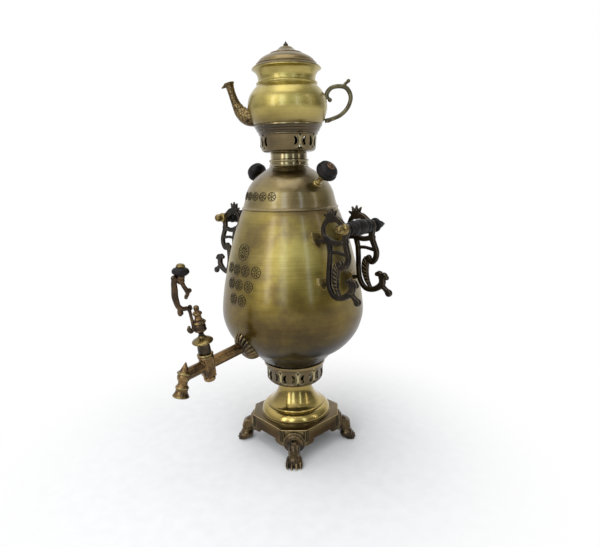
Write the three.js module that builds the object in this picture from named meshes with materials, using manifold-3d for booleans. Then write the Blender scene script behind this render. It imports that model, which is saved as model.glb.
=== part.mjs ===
// Charcoal samovar with a lift-off lid, a crown, a teapot and a plug tap.
// Millimetres, +Z up. The tap points along -Y and the two handles along +X and -X.

import * as THREE from 'three';
import { mergeVertices } from 'three/addons/utils/BufferGeometryUtils.js';
import Module from 'manifold-3d';

const wasm = await Module();
wasm.setup();

// Clearances
const seatGap = 0.3;
const runningGap = 0.4;
const nestGap = 1;
const overrun = 6;

// Facets
const bodySides = 32;
const lidSides = 24;
const ringSides = 20;
const teapotSides = 20;
const knobSides = 12;
const pinSides = 8;
const screwSides = 8;
const barSides = 4;
const loopSides = 6;
const legSides = 6;
const toeSides = 5;
const pawSides = 8;
const spoutSides = 8;
const tubeSides = 16;
const portSides = 10;
const archSteps = 4;
const plateSteps = 8;
const entryHalvings = 40;
const potHandleSteps = 14;

// Stand: four paw feet under an eight-sided base box
const bossHeight = 27.5;
const baseHeight = 18;
const baseUnderside = 27.4;
const baseHalfSide = 56.5;
const baseChamfer = 24.4;
const baseWall = 2.5;
const baseTopWall = 3;
const apronDrop = 6;
const apronArchShare = 0.3;
const baseTop = baseUnderside + baseHeight;

// Feet
const bossRadius = 13.5;
const bossThick = 3;
const innerBossRadius = 9.5;
const innerBossThick = 2.4;
const legWidth = 17;
const legReach = 13;
const pawLength = 22;
const pawWidth = 21;
const pawHeight = 17;
const toeRadius = 4.2;
const clawRadius = 3.6;
const screwRadius = 2;
const screwHeadRadius = 4;
const screwHeadThick = 2.6;
const screwBite = 7;

// Pedestal and draught gallery
const pedestalHeight = 49.6;
const pedestalFootRadius = 51.2;
const pedestalWall = 2;
const galleryHeight = 33.4;
const galleryRadius = 47.1;
const galleryWall = 2;
const galleryUnits = 10;
const crescentOffset = 3;
const crescentRadius = 5.9;
const crescentWidth = 3.7;
const crescentTipWidth = 2.2;
const crescentHalfAngle = 68;
const crescentSteps = 4;
const gussetOffset = 7.2;
const gussetSize = 3.6;

// Water body
const bodyHeight = 219;
const bodyRadius = 100;
const bodyWall = 1.6;
const bodyFloorWall = 2;

// Fire tube and grate
const fireboxRadius = 33;
const flueRadius = 20;
const tubeWall = 1.6;
const fireboxHeight = 74;
const flueTaperHeight = 60;
const tubeDrop = 5;
const tubeBeadWidth = 3.5;
const tubeBeadThick = 1.6;
const grateThick = 3;
const grateLedge = 3;
const grateSlots = 7;
const grateSlotWidth = 3.4;
const grateBarWidth = 4.2;

// Lift-off lid of the water body
const lidHeight = 56;
const lidWall = 1.6;
const lidSkirtDepth = 8;
const lidSkirtWall = 1.6;
const seamBead = 1;
const seamBeadHeight = 2.2;
const neckHeight = 17.4;
const neckRadius = 25.9;
const neckBore = 22.8;
const flueTopDrop = 8;

// Lid knobs
const knobLean = 49;
const knobStemRadialShare = 0.817;
const knobStemLength = 15.6;
const knobStemRadius = 3.6;
const knobShankRadius = 2.4;
const knobShankDepth = 5;
const knobRadius = 14.2;
const knobThick = 17;
const knobCapRadius = 4;
const knobCapHeight = 3;

// Crown that carries the teapot
const crownHeight = 35.7;
const crownRadius = 45.8;
const crownSpigotDepth = 6;
const crownSpigotWall = 4;
const crownFloorWall = 2;
const crownWall = 1.9;
const crownRimWidth = 3;
const crownSections = 3;

// Teapot
const teapotHeight = 69.9;
const teapotRadius = 52.8;
const teapotWall = 1.8;
const teapotFootDepth = 2;
const teapotTurn = 47.3;
const spoutReach = 75.5;
const spoutMouthRadius = 7;
const spoutWall = 1.5;
const potHandleWidth = 4.8;
const potHandleDepth = 5.4;
const potLidRadius = 43.8;
const potLidHeight = 27.6;
const potLidWall = 1.5;
const potLidSpigotDepth = 7;
const potLidSpigotRadius = 34.6;
const finialHeight = 5.4;
const finialRadius = 3.1;
const finialTenon = 2;
const finialTenonLength = 8.5;

// Tap
const tapReach = 148.3;
const tapHeight = 162;
const pipeSlope = 8.4;
const spindleLean = 7.5;
const pipeRadius = 6.75;
const pipeBore = 3.6;
const pipeInside = 15;
const outletLength = 34;
const barrelTopRadius = 8.4;
const barrelFootRadius = 7.4;
const barrelTop = 12.5;
const barrelFoot = 16;
const ridgeRadius = 10;
const ridgeHeight = 4;
const plugTopRadius = 4.9;
const plugFootRadius = 4;
const plugPortRadius = 2.6;
const plugNeckRadius = 7.7;
const plugNeckHeight = 14;
const dripDiscRadius = 12.9;
const dripDiscHeight = 9;
const plugStemRadius = 3.3;
const plugStemHeight = 6;
const tangRadius = 2.6;
const hubRadius = 7.7;
const hubHeight = 15.5;
const hubCollar = 0.6;
const plugNutRadius = 7.8;
const plugNutHeight = 5.6;
const plugNutCover = 1.4;
const topNutHeight = 18.5;
const topNutRadius = 6;
const keyDepth = 5;
const keyReach = 24.2;
const keyRise = 76.5;
const keyKnobRadius = 10.4;
const keyKnobHeight = 11;
const keyKnobLean = 12;
const keyButtonRadius = 5.6;
const keyButtonHeight = 4.4;
const nozzleLean = 14;
const nozzleRingRadius = 8.2;
const nozzleMouthRadius = 10;
const nozzleBore = 4.4;
const nozzleRise = 13.5;
const nozzleDrop = 26;
const shellRise = 26;
const shellHalfWidth = 16;
const shellProud = 14;
const shellFlutes = 20;
const plateRadius = 14;
const plateThick = 2.4;

// Handles
const gripStandOff = 25;
const gripHeightShare = 0.9165;
const bracketSpacing = 48;
const bracketDepth = 5;
const bracketSplay = 4;
const bracketDrop = 84.5;
const bracketRise = 23;
const bracketInset = 38;
const rodRadius = 2.4;
const eyeRadius = 6.6;
const gripRadius = 9.7;
const finialLength = 22;
const finialWidth = 18.4;
const capNutLength = 12.5;
const capNutRadius = 5.9;
const lugHalfWidth = 6.5;
const lugThick = 3;
const upperLugHalfHeight = 10;
const lowerLugHalfHeight = 7;

// Heights of the stack, from the table up
const pedestalBottom = baseTop + seatGap;
const galleryBottom = pedestalBottom + pedestalHeight + seatGap;
const bodyBottom = galleryBottom + galleryHeight + seatGap;
const bodyTop = bodyBottom + bodyHeight;
const bodyFloorTop = bodyBottom + bodyFloorWall;
const gripHeight = bodyBottom + bodyHeight * gripHeightShare;
const gripReach = bodyRadius + gripStandOff;
const lidBottom = bodyTop + seatGap;
const lidTop = lidBottom + lidHeight;
const neckBottom = lidTop + seatGap;
const neckTop = neckBottom + neckHeight;
const crownBottom = neckTop + seatGap;
const crownTop = crownBottom + crownHeight;
const teapotBottom = crownTop + seatGap;
const teapotTop = teapotBottom + teapotHeight;
const potLidBottom = teapotTop + seatGap;

// The tap reaches out on one side, so the stack's axis stands back from the middle of the part
const degrees = THREE.MathUtils.degToRad;
const nozzleReach = tapReach + outletLength * Math.cos(degrees(pipeSlope));
const mouthReach = nozzleReach + nozzleDrop * Math.sin(degrees(nozzleLean)) + nozzleMouthRadius;
const axisSetback = (mouthReach - bodyRadius) / 2;

// Outlines as shares, radius first and height second
const bodyProfileShares = [
  [0.47, 0], [0.584, 0.064], [0.767, 0.123], [0.91, 0.203], [0.985, 0.29], [1, 0.37],
  [0.966, 0.5], [0.917, 0.61], [0.86, 0.721], [0.784, 0.845], [0.697, 0.955], [0.652, 1],
];
const lidProfileShares = [
  [1, 0], [0.965, 0.14], [0.914, 0.37], [0.859, 0.5125], [0.782, 0.64], [0.67, 0.77], [0.552, 0.87],
  [0.44, 0.95], [0.398, 1],
];
const pedestalProfileShares = [
  [1, 0], [1, 0.05], [0.965, 0.13], [0.895, 0.24], [0.79, 0.3], [0.79, 0.35], [0.745, 0.375], [0.655, 0.46],
  [0.56, 0.6], [0.49, 0.76], [0.458, 1],
];
const galleryProfileShares = [
  [0.54, 0], [0.72, 0.04], [0.82, 0.1], [0.872, 0.34], [0.872, 0.8], [0.905, 0.84], [0.92, 0.91],
  [0.985, 0.95], [1, 1],
];
const neckProfileShares = [
  [1, 0], [1, 0.34], [1.035, 0.4], [1.035, 0.48], [0.963, 0.54], [0.957, 1],
];
const crownProfileShares = [
  [0.66, 0], [0.76, 0.05], [0.805, 0.14], [0.834, 0.63], [0.87, 0.65], [0.88, 0.74], [0.92, 0.76],
  [0.93, 0.84], [0.975, 0.93], [1, 0.95], [1, 1],
];
const teapotProfileShares = [
  [0.86, 0], [0.915, 0.06], [0.975, 0.19], [1, 0.33], [0.958, 0.49], [0.84, 0.63], [0.745, 0.71],
  [0.757, 0.725], [0.757, 0.75], [0.72, 0.762], [0.712, 0.81], [0.735, 0.88], [0.79, 0.945], [0.856, 0.985],
  [0.856, 1],
];
const teapotInsideShares = [
  [0.822, 1], [0.755, 0.94], [0.678, 0.81], [0.71, 0.7], [0.8, 0.63], [0.92, 0.49], [0.964, 0.33],
  [0.94, 0.2], [0.82, 0.04],
];
const potLidProfileShares = [
  [0.985, 0], [1, 0.035], [0.952, 0.105], [0.86, 0.175], [0.695, 0.37], [0.553, 0.53], [0.43, 0.63],
  [0.415, 0.68], [0.255, 0.79], [0.165, 0.945], [0.085, 1],
];
const potLidInsideShares = [[0.22, 0.7], [0.38, 0.59], [0.53, 0.47], [0.753, 0.23]];
const gripProfileShares = [
  [0.6, 0], [0.8, 0.03], [0.8, 0.1], [0.6, 0.14], [0.96, 0.24], [0.88, 0.34], [1, 0.5], [0.88, 0.66],
  [0.96, 0.76], [0.6, 0.86], [0.8, 0.9], [0.8, 0.97], [0.6, 1],
];
const finialProfileShares = [
  [0.6, 0], [0.95, 0.07], [0.95, 0.23], [0.6, 0.33], [0.64, 0.42], [0.42, 0.57], [0.46, 0.64], [0.24, 0.84],
  [0, 1],
];
const capNutProfileShares = [
  [1, 0], [1, 0.3], [0.62, 0.4], [0.8, 0.66], [0.7, 0.88], [0, 1],
];
const knobProfileShares = [
  [0.4, 0], [0.66, 0.05], [0.95, 0.22], [1, 0.42], [0.9, 0.56], [0.8, 0.82], [0.4, 1],
];
const keyKnobProfileShares = [
  [0.42, 0], [0.86, 0.28], [1, 0.52], [0.92, 0.78], [0.55, 1],
];
const topNutProfileShares = [
  [0.8, 0], [0.72, 0.1], [0.72, 0.3], [1, 0.38], [1, 0.47], [0.5, 0.6], [0.58, 0.74], [0.56, 0.88], [0, 1],
];

// Bars of the key as shares of its reach and rise, measured from the hub's foot on the spindle's axis
const keyBars = [
  {
    pathShares: [
      [0.59, 0.137], [0.65, 0.099], [0.53, 0.051], [0.37, 0.093], [0.35, 0.191], [0.37, 0.312], [0.38, 0.378],
      [0.45, 0.444], [0.74, 0.47], [0.93, 0.527], [1, 0.692], [0.95, 0.791], [0.92, 0.886], [0.86, 0.985],
    ],
    widthShares: [0.12, 0.15, 0.17, 0.17, 0.16, 0.15, 0.16, 0.2, 0.22, 0.25, 0.3, 0.29, 0.27, 0.22],
    steps: 16,
  },
  {
    pathShares: [[0.86, 0.5], [0.93, 0.438], [0.91, 0.394], [0.81, 0.407]],
    widthShares: [0.2, 0.2, 0.18, 0.12],
    steps: 4,
  },
  { pathShares: [[0.46, 0.44], [0.32, 0.465], [0.27, 0.425]], widthShares: [0.14, 0.17, 0.11], steps: 3 },
  {
    pathShares: [[0.86, 0.97], [0.57, 0.94], [0.43, 0.812], [0.32, 0.729], [0.31, 0.673], [0.43, 0.628]],
    widthShares: [0.2, 0.24, 0.2, 0.22, 0.18, 0.14],
    steps: 8,
  },
  { pathShares: [[0.34, 0.74], [0.18, 0.719]], widthShares: [0.14, 0.18], steps: 1 },
  { pathShares: [[0.54, 0.92], [0.5, 0.97]], widthShares: [0.3, 0.3], steps: 1 },
];

// Bars of a bracket as shares: inward from the rod over the inset, downward from the rod over the drop
const bracketBars = [
  // stem near the body, the foot that turns outward and its leaf
  {
    pathShares: [
      [0.72, 0.2], [0.66, 0.34], [0.655, 0.5], [0.67, 0.7], [0.63, 0.86], [0.45, 0.975], [0.2, 1],
      [-0.1, 0.955], [-0.32, 0.87], [-0.33, 0.76],
    ],
    widthShares: [0.14, 0.13, 0.13, 0.13, 0.13, 0.13, 0.13, 0.15, 0.17, 0.16],
    steps: 8,
  },
  // outer stem
  {
    pathShares: [
      [0, 0.05], [0.04, 0.17], [-0.06, 0.3], [-0.13, 0.39], [-0.09, 0.49], [0.06, 0.555], [0.22, 0.53],
    ],
    widthShares: [0.17, 0.15, 0.14, 0.14, 0.14, 0.14, 0.12],
    steps: 6,
  },
  // tapering horn
  {
    pathShares: [[0.2, 0.5], [0.33, 0.56], [0.38, 0.7], [0.33, 0.84], [0.2, 0.95]],
    widthShares: [0.14, 0.2, 0.19, 0.15, 0.1],
    steps: 4,
  },
  // cross links
  { pathShares: [[0.74, 0.19], [0.4, 0.215], [0, 0.18]], widthShares: [0.15, 0.13, 0.13], steps: 2 },
  { pathShares: [[0.66, 0.36], [0.35, 0.345], [-0.08, 0.37]], widthShares: [0.09, 0.08, 0.09], steps: 1 },
  // loop above the upper link, and the arm over it to the eye
  {
    pathShares: [[0.74, 0.19], [0.95, 0.12], [1, 0.03], [0.9, -0.07], [0.7, -0.14]],
    widthShares: [0.13, 0.12, 0.11, 0.12, 0.16],
    steps: 4,
  },
  {
    pathShares: [[0.68, -0.13], [0.4, -0.125], [0.16, -0.05], [0.05, 0]],
    widthShares: [0.18, 0.15, 0.15, 0.18],
    steps: 3,
  },
  // crest of four leaves
  { pathShares: [[0.7, -0.12], [0.8, -0.17], [0.9, -0.2]], widthShares: [0.16, 0.13, 0.08], steps: 1 },
  { pathShares: [[0.69, -0.13], [0.74, -0.2], [0.77, -0.255]], widthShares: [0.15, 0.14, 0.09], steps: 1 },
  { pathShares: [[0.67, -0.13], [0.65, -0.21], [0.62, -0.272]], widthShares: [0.15, 0.14, 0.09], steps: 1 },
  { pathShares: [[0.64, -0.13], [0.54, -0.19], [0.46, -0.25]], widthShares: [0.15, 0.13, 0.08], steps: 1 },
  // lobes of the leaf at the foot
  { pathShares: [[-0.32, 0.78], [-0.24, 0.72], [-0.12, 0.735]], widthShares: [0.15, 0.14, 0.1], steps: 1 },
  { pathShares: [[-0.33, 0.78], [-0.42, 0.735], [-0.52, 0.77]], widthShares: [0.15, 0.14, 0.1], steps: 1 },
  { pathShares: [[-0.3, 0.9], [-0.45, 0.95], [-0.58, 1]], widthShares: [0.13, 0.12, 0.16], steps: 1 },
];
const upperLugShare = 0.2;
const lowerLugShare = 0.83;

// Spout centre line and radius as shares: outward over its reach, upward over the teapot's height
const spoutShares = [
  [0.55, 0.15, 0.23], [0.7, 0.16, 0.215], [0.82, 0.25, 0.16], [0.9, 0.4, 0.094], [0.955, 0.56, 0.072],
  [0.985, 0.68, 0.076], [1, 0.745, 0.088], [1.004, 0.755, 0.1], [1.01, 0.79, 0.1],
];
const potHandleShares = [
  [0.96, 0.49], [0.995, 0.6], [1.11, 0.69], [1.3, 0.715], [1.47, 0.69], [1.57, 0.57], [1.585, 0.42],
  [1.5, 0.27], [1.33, 0.15], [1.12, 0.085], [0.93, 0.05],
];
const thumbSpurShares = [[1.4, 0.69], [1.47, 0.76], [1.56, 0.815]];

function material(color, roughness, metalness) {
  return new THREE.MeshStandardMaterial({ color, roughness, metalness });
}

const agedBrass = material(0x8f7f3c, 0.34, 0.9);
const goldBrass = material(0xb39443, 0.28, 0.9);
const darkBronze = material(0x4b3c24, 0.42, 0.85);
const blackWood = material(0x17130f, 0.45, 0);
const castIron = material(0x35312d, 0.7, 0.6);

// A closed geometry as a solid
function solid(geometry) {
  const bare = geometry.clone();
  bare.deleteAttribute('normal');
  bare.deleteAttribute('uv');
  const merged = mergeVertices(bare, 1e-4);
  const corners = [];
  for (let i = 0; i < merged.index.count; i += 3) {
    const [a, b, c] = [merged.index.getX(i), merged.index.getX(i + 1), merged.index.getX(i + 2)];
    if (a !== b && b !== c && a !== c) {
      corners.push(a, b, c);
    }
  }
  const vertProperties = new Float32Array(merged.attributes.position.array);
  return new wasm.Manifold(new wasm.Mesh({ numProp: 3, vertProperties, triVerts: new Uint32Array(corners) }));
}

function geometryOf(body) {
  const mesh = body.getMesh();
  const geometry = new THREE.BufferGeometry();
  geometry.setAttribute('position', new THREE.BufferAttribute(new Float32Array(mesh.vertProperties), 3));
  geometry.setIndex(new THREE.BufferAttribute(new Uint32Array(mesh.triVerts), 1));
  geometry.computeVertexNormals();
  return geometry;
}

const samovar = new THREE.Group();
samovar.position.y = axisSetback;

function addPiece(name, shape, look, parent = samovar) {
  const mesh = new THREE.Mesh(shape.isBufferGeometry ? shape : geometryOf(shape), look);
  mesh.name = name;
  parent.add(mesh);
  return mesh;
}

function union(solids) {
  return solids.reduce((whole, next) => whole.add(next));
}

// Turned pieces: a closed outline of [radius, height] points spun round Z
function turned(outline, sides) {
  const points = outline.map(([radius, height]) => new THREE.Vector2(radius, height));
  const first = points[0];
  const last = points[points.length - 1];
  if (first.x > 0 || last.x > 0) {
    points.push(first.clone());
  }
  if (THREE.ShapeUtils.area(points) < 0) {
    points.reverse();
  }
  const geometry = new THREE.LatheGeometry(points, sides);
  geometry.rotateX(Math.PI / 2);
  return geometry;
}

// Every second point of a line, with its second and last points kept
function thinned(points) {
  return points.filter((_, i) => i % 2 === 0 || i === 1 || i === points.length - 1);
}

function scaledProfile(shares, radius, height, bottom) {
  return shares.map(([r, h]) => [r * radius, bottom + h * height]);
}

// The same line moved by the wall, towards the axis for a line that climbs
function insetProfile(points, wall) {
  return points.map(([r, h], i) => {
    const [r0, h0] = points[Math.max(i - 1, 0)];
    const [r1, h1] = points[Math.min(i + 1, points.length - 1)];
    const length = Math.hypot(r1 - r0, h1 - h0);
    return [r - (wall * (h1 - h0)) / length, h + (wall * (r1 - r0)) / length];
  });
}

// Round bar along Z between two heights
function post(radius, from, to, sides) {
  const geometry = new THREE.CylinderGeometry(radius, radius, to - from, sides);
  geometry.rotateX(Math.PI / 2);
  geometry.translate(0, 0, (from + to) / 2);
  return geometry;
}

// Round bar along Y between two places
function rod(radius, from, to, sides) {
  const geometry = new THREE.CylinderGeometry(radius, radius, to - from, sides);
  geometry.translate(0, (from + to) / 2, 0);
  return geometry;
}

function block(x0, x1, y0, y1, z0, z1) {
  const geometry = new THREE.BoxGeometry(x1 - x0, y1 - y0, z1 - z0);
  geometry.translate((x0 + x1) / 2, (y0 + y1) / 2, (z0 + z1) / 2);
  return geometry;
}

// Skin over a row of rings with the same number of points, closed by a fan at each end
function loft(rings) {
  const sides = rings[0].length;
  const positions = [];
  const faces = [];
  rings.forEach((ring) => ring.forEach((p) => positions.push(p.x, p.y, p.z)));
  for (let i = 0; i + 1 < rings.length; i += 1) {
    for (let j = 0; j < sides; j += 1) {
      const k = (j + 1) % sides;
      const [a, b, c, d] = [i * sides + j, i * sides + k, (i + 1) * sides + k, (i + 1) * sides + j];
      faces.push(a, b, c, a, c, d);
    }
  }
  [0, rings.length - 1].forEach((end) => {
    const centre = new THREE.Vector3();
    rings[end].forEach((p) => centre.addScaledVector(p, 1 / sides));
    const middle = positions.length / 3;
    positions.push(centre.x, centre.y, centre.z);
    for (let j = 0; j < sides; j += 1) {
      const a = end * sides + j;
      const b = end * sides + ((j + 1) % sides);
      faces.push(middle, end === 0 ? b : a, end === 0 ? a : b);
    }
  });
  const geometry = new THREE.BufferGeometry();
  geometry.setAttribute('position', new THREE.Float32BufferAttribute(positions, 3));
  geometry.setIndex(faces);
  return geometry;
}

// Bar of oval section along a curve in the X-Z plane: widths lie in the plane, the depth runs along Y
function ovalBar(points, widths, depths, sides, steps) {
  const places = points.map(([x, z]) => new THREE.Vector3(x, 0, z));
  const curve = new THREE.CatmullRomCurve3(places, false, 'centripetal');
  const rings = [];
  for (let i = 0; i <= steps; i += 1) {
    const t = i / steps;
    const place = t * (points.length - 1);
    const low = Math.min(Math.floor(place), points.length - 2);
    const blend = place - low;
    const width = THREE.MathUtils.lerp(widths[low], widths[low + 1], blend);
    const depth = THREE.MathUtils.lerp(depths[low], depths[low + 1], blend);
    const centre = curve.getPoint(t);
    const along = curve.getTangent(t);
    const across = new THREE.Vector3(along.z, 0, -along.x);
    const ring = [];
    for (let j = 0; j < sides; j += 1) {
      const turn = ((j + 0.5) / sides) * 2 * Math.PI;
      const point = centre.clone().addScaledVector(across, (width / 2) * Math.cos(turn));
      point.y += (depth / 2) * Math.sin(turn);
      ring.push(point);
    }
    rings.push(ring);
  }
  return loft(rings);
}

// Water body outline, and a block that stands for the body and lid when neighbours are cut to them
const bodyOutline = scaledProfile(bodyProfileShares, bodyRadius, bodyHeight, bodyBottom);
const seamRadius = bodyOutline[bodyOutline.length - 1][0];
const lidOutline = scaledProfile(lidProfileShares, seamRadius, lidHeight, lidBottom);

function blockInside(outline, offset, sides) {
  const skin = insetProfile(outline, -offset);
  const bottom = skin[0][1];
  const top = skin[skin.length - 1][1];
  return solid(turned([[0, bottom], ...skin, [0, top]], sides));
}

const bodyBlock = blockInside(bodyOutline, seatGap, bodySides);
const lidBlock = blockInside(lidOutline, seatGap, lidSides);
const floorEdge = [bodyOutline[0][0] - bodyFloorWall, bodyFloorTop];
const bodyInside = [
  floorEdge, ...thinned(insetProfile(bodyOutline, bodyWall)).filter(([, h]) => h > bodyFloorTop),
];
const cavityBlock = blockInside(bodyInside, -seatGap, bodySides);
const cavityCore = blockInside(bodyInside, -seatGap - plateThick, bodySides);

// Base box

function octagon(halfSide, chamfer) {
  const near = halfSide - chamfer;
  const shape = new THREE.Shape();
  shape.moveTo(near, -halfSide);
  [[halfSide, -near], [halfSide, near], [near, halfSide], [-near, halfSide], [-halfSide, near],
    [-halfSide, -near], [-near, -halfSide]].forEach(([x, y]) => shape.lineTo(x, y));
  return shape;
}

function prism(shape, bottom, top, curveSegments = plateSteps) {
  const depth = top - bottom;
  const geometry = new THREE.ExtrudeGeometry(shape, { depth, bevelEnabled: false, curveSegments });
  geometry.translate(0, 0, bottom);
  return geometry;
}

const cornerFace = (2 * baseHalfSide - baseChamfer) / Math.SQRT2;
const cornerTurns = [45, 135, 225, 315];

function buildBase() {
  const chamferInside = baseChamfer - baseWall * (2 - Math.SQRT2);
  const bottom = baseUnderside - apronDrop;
  let box = solid(prism(octagon(baseHalfSide, baseChamfer), bottom, baseTop));
  const inside = octagon(baseHalfSide - baseWall, chamferInside);
  box = box.subtract(solid(prism(inside, bottom - overrun, baseTop - baseTopWall)));
  const archHalf = baseHalfSide * apronArchShare;
  const arch = new THREE.Shape();
  arch.moveTo(-archHalf - apronDrop, bottom - overrun);
  arch.lineTo(archHalf + apronDrop, bottom - overrun);
  arch.lineTo(archHalf + apronDrop, bottom);
  arch.quadraticCurveTo(archHalf, bottom, archHalf, baseUnderside);
  arch.lineTo(-archHalf, baseUnderside);
  arch.quadraticCurveTo(-archHalf, bottom, -archHalf - apronDrop, bottom);
  arch.closePath();
  [0, 90].forEach((turn) => {
    const cutter = prism(arch, -baseHalfSide - overrun, baseHalfSide + overrun, archSteps);
    cutter.rotateX(Math.PI / 2);
    cutter.rotateZ(degrees(turn));
    box = box.subtract(solid(cutter));
  });
  cornerTurns.forEach((turn) => {
    const hole = rod(screwRadius + seatGap, cornerFace - baseWall - overrun, cornerFace + overrun, pinSides);
    hole.rotateZ(degrees(turn - 90));
    hole.translate(0, 0, bossHeight);
    box = box.subtract(solid(hole));
  });
  const draughtHole = pedestalFootRadius * 0.5;
  const draught = post(draughtHole, baseTop - baseTopWall - overrun, baseTop + overrun, ringSides);
  return box.subtract(solid(draught));
}

// Paw foot, built with its corner face at X = 0 and pointing along +X

function pebble(x, y, z, halfX, halfY, halfZ, sides) {
  const geometry = new THREE.SphereGeometry(1, sides, Math.ceil(sides / 2));
  geometry.rotateX(Math.PI / 2);
  geometry.scale(halfX, halfY, halfZ);
  geometry.translate(x, y, z);
  return solid(geometry);
}

function faceDisc(radius, from, to, height) {
  const disc = post(radius, from, to, knobSides);
  disc.rotateY(Math.PI / 2);
  disc.translate(0, 0, height);
  return solid(disc);
}

function buildFoot() {
  const legStart = seatGap + bossThick;
  const leg = ovalBar(
    [
      [seatGap + bossThick * 0.5, bossHeight],
      [legStart + legReach * 0.45, bossHeight - pawHeight * 0.08],
      [legStart + legReach * 0.72, bossHeight - pawHeight * 0.5],
      [legStart + legReach * 0.8, pawHeight * 0.5],
    ],
    [legWidth * 0.86, legWidth * 0.8, legWidth * 0.72, legWidth * 0.8],
    [legWidth * 0.9, legWidth, legWidth * 0.84, legWidth],
    legSides,
    3,
  );
  const pawCentre = legStart + legReach * 0.72;
  const toeLine = pawCentre + pawLength * 0.24;
  const pieces = [
    faceDisc(bossRadius, seatGap, seatGap + bossThick, bossHeight),
    faceDisc(innerBossRadius, seatGap + bossThick * 0.5, seatGap + bossThick + innerBossThick, bossHeight),
    solid(leg),
    pebble(pawCentre, 0, pawHeight * 0.38, pawLength * 0.42, pawWidth * 0.46, pawHeight * 0.62, pawSides),
  ];
  [-0.36, -0.13, 0.13, 0.36].forEach((share) => {
    const x = toeLine - Math.abs(share) * toeRadius;
    const halfLength = pawLength * 0.28;
    const halfWidth = toeRadius * 0.72;
    pieces.push(pebble(x, share * pawWidth, toeRadius * 0.75, halfLength, halfWidth, toeRadius, toeSides));
  });
  const clawReach = toeLine + pawLength * 0.24;
  pieces.push(pebble(clawReach, 0, clawRadius * 0.9, clawRadius, clawRadius, clawRadius, toeSides));
  const table = solid(block(-pawLength, 3 * pawLength, -pawWidth, pawWidth, -pawHeight, 0));
  const hole = rod(screwRadius + seatGap, -overrun, legStart + screwBite, pinSides);
  hole.rotateZ(-Math.PI / 2);
  hole.translate(0, 0, bossHeight);
  return union(pieces).subtract(table).subtract(solid(hole));
}

function buildScrew() {
  const headFace = -baseWall - seatGap;
  const tip = seatGap + bossThick + screwBite - seatGap;
  const screw = turned([
    [0, headFace - screwHeadThick], [screwHeadRadius, headFace - screwHeadThick * 0.6],
    [screwHeadRadius, headFace], [screwRadius, headFace], [screwRadius, tip], [0, tip],
  ], screwSides);
  screw.rotateY(Math.PI / 2);
  return screw;
}

addPiece('base_box', buildBase(), agedBrass);
const footShape = buildFoot();
cornerTurns.forEach((turn, i) => {
  const corner = new THREE.Group();
  corner.rotation.z = degrees(turn);
  samovar.add(corner);
  const foot = addPiece(`paw_foot_${i + 1}`, footShape, darkBronze, corner);
  foot.position.x = cornerFace;
  const screw = addPiece(`foot_screw_${i + 1}`, buildScrew(), agedBrass, corner);
  screw.position.set(cornerFace, 0, bossHeight);
});

// Pedestal and draught gallery

const pedestalOutline = scaledProfile(
  pedestalProfileShares, pedestalFootRadius, pedestalHeight, pedestalBottom,
);
const pedestalNeckBore = pedestalOutline[pedestalOutline.length - 1][0] - pedestalWall;

function buildPedestal() {
  const rim = pedestalFootRadius - 2 * pedestalWall;
  return turned([
    ...pedestalOutline,
    [pedestalNeckBore, pedestalBottom + pedestalHeight],
    [pedestalNeckBore, pedestalBottom + pedestalHeight * 0.8],
    [pedestalNeckBore + pedestalWall * 1.2, pedestalBottom + pedestalHeight * 0.62],
    [rim * 0.64, pedestalBottom + pedestalHeight * 0.43],
    [rim * 0.78, pedestalBottom + pedestalHeight * 0.22],
    [rim, pedestalBottom + pedestalHeight * 0.05],
    [rim, pedestalBottom],
  ], ringSides);
}

addPiece('pedestal', buildPedestal(), goldBrass);

// Openwork of facing crescents with small three-cornered holes between the pairs

function crescentShape(facing, size) {
  const steps = Array.from({ length: crescentSteps + 1 }, (_, i) => (2 * i) / crescentSteps - 1);
  const spot = (share, width) => {
    const angle = share * degrees(crescentHalfAngle);
    const radius = crescentRadius - width;
    const across = crescentOffset + radius * Math.cos(angle);
    return new THREE.Vector2(facing * size * across, size * radius * Math.sin(angle));
  };
  const innerSteps = steps.filter((_, i) => i % 2 === 0).reverse();
  const outer = steps.map((share) => spot(share, 0));
  const inner = innerSteps.map((share) => {
    return spot(share, THREE.MathUtils.lerp(crescentWidth, crescentTipWidth, Math.abs(share)));
  });
  return new THREE.Shape([...outer, ...inner]);
}

function gussetShape(up, size) {
  const half = (up * gussetSize * size) / 2;
  const shape = new THREE.Shape();
  shape.moveTo(-half * 1.6, half);
  shape.lineTo(0, -half * 1.2);
  shape.lineTo(half * 1.6, half);
  return shape;
}

// A flat shape stood on the drum at a turn and height, and pushed through its wall
function drumCutter(shape, turn, height, radius) {
  const cutter = prism(shape, radius - overrun, radius + overrun);
  cutter.rotateX(Math.PI / 2);
  cutter.rotateZ(degrees(turn + 90));
  cutter.translate(0, 0, height);
  return solid(cutter);
}

function piercings(radius, height, centres, sides, size) {
  const drop = gussetOffset * size;
  const cutters = [];
  centres.forEach((centre) => {
    cutters.push(drumCutter(crescentShape(-1, size), centre, height, radius));
    cutters.push(drumCutter(crescentShape(1, size), centre, height, radius));
    sides.forEach((side) => {
      const turn = centre + (side * unitTurn) / 2;
      cutters.push(drumCutter(gussetShape(1, size), turn, height + drop, radius));
      cutters.push(drumCutter(gussetShape(-1, size), turn, height - drop, radius));
    });
  });
  return cutters;
}

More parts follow.
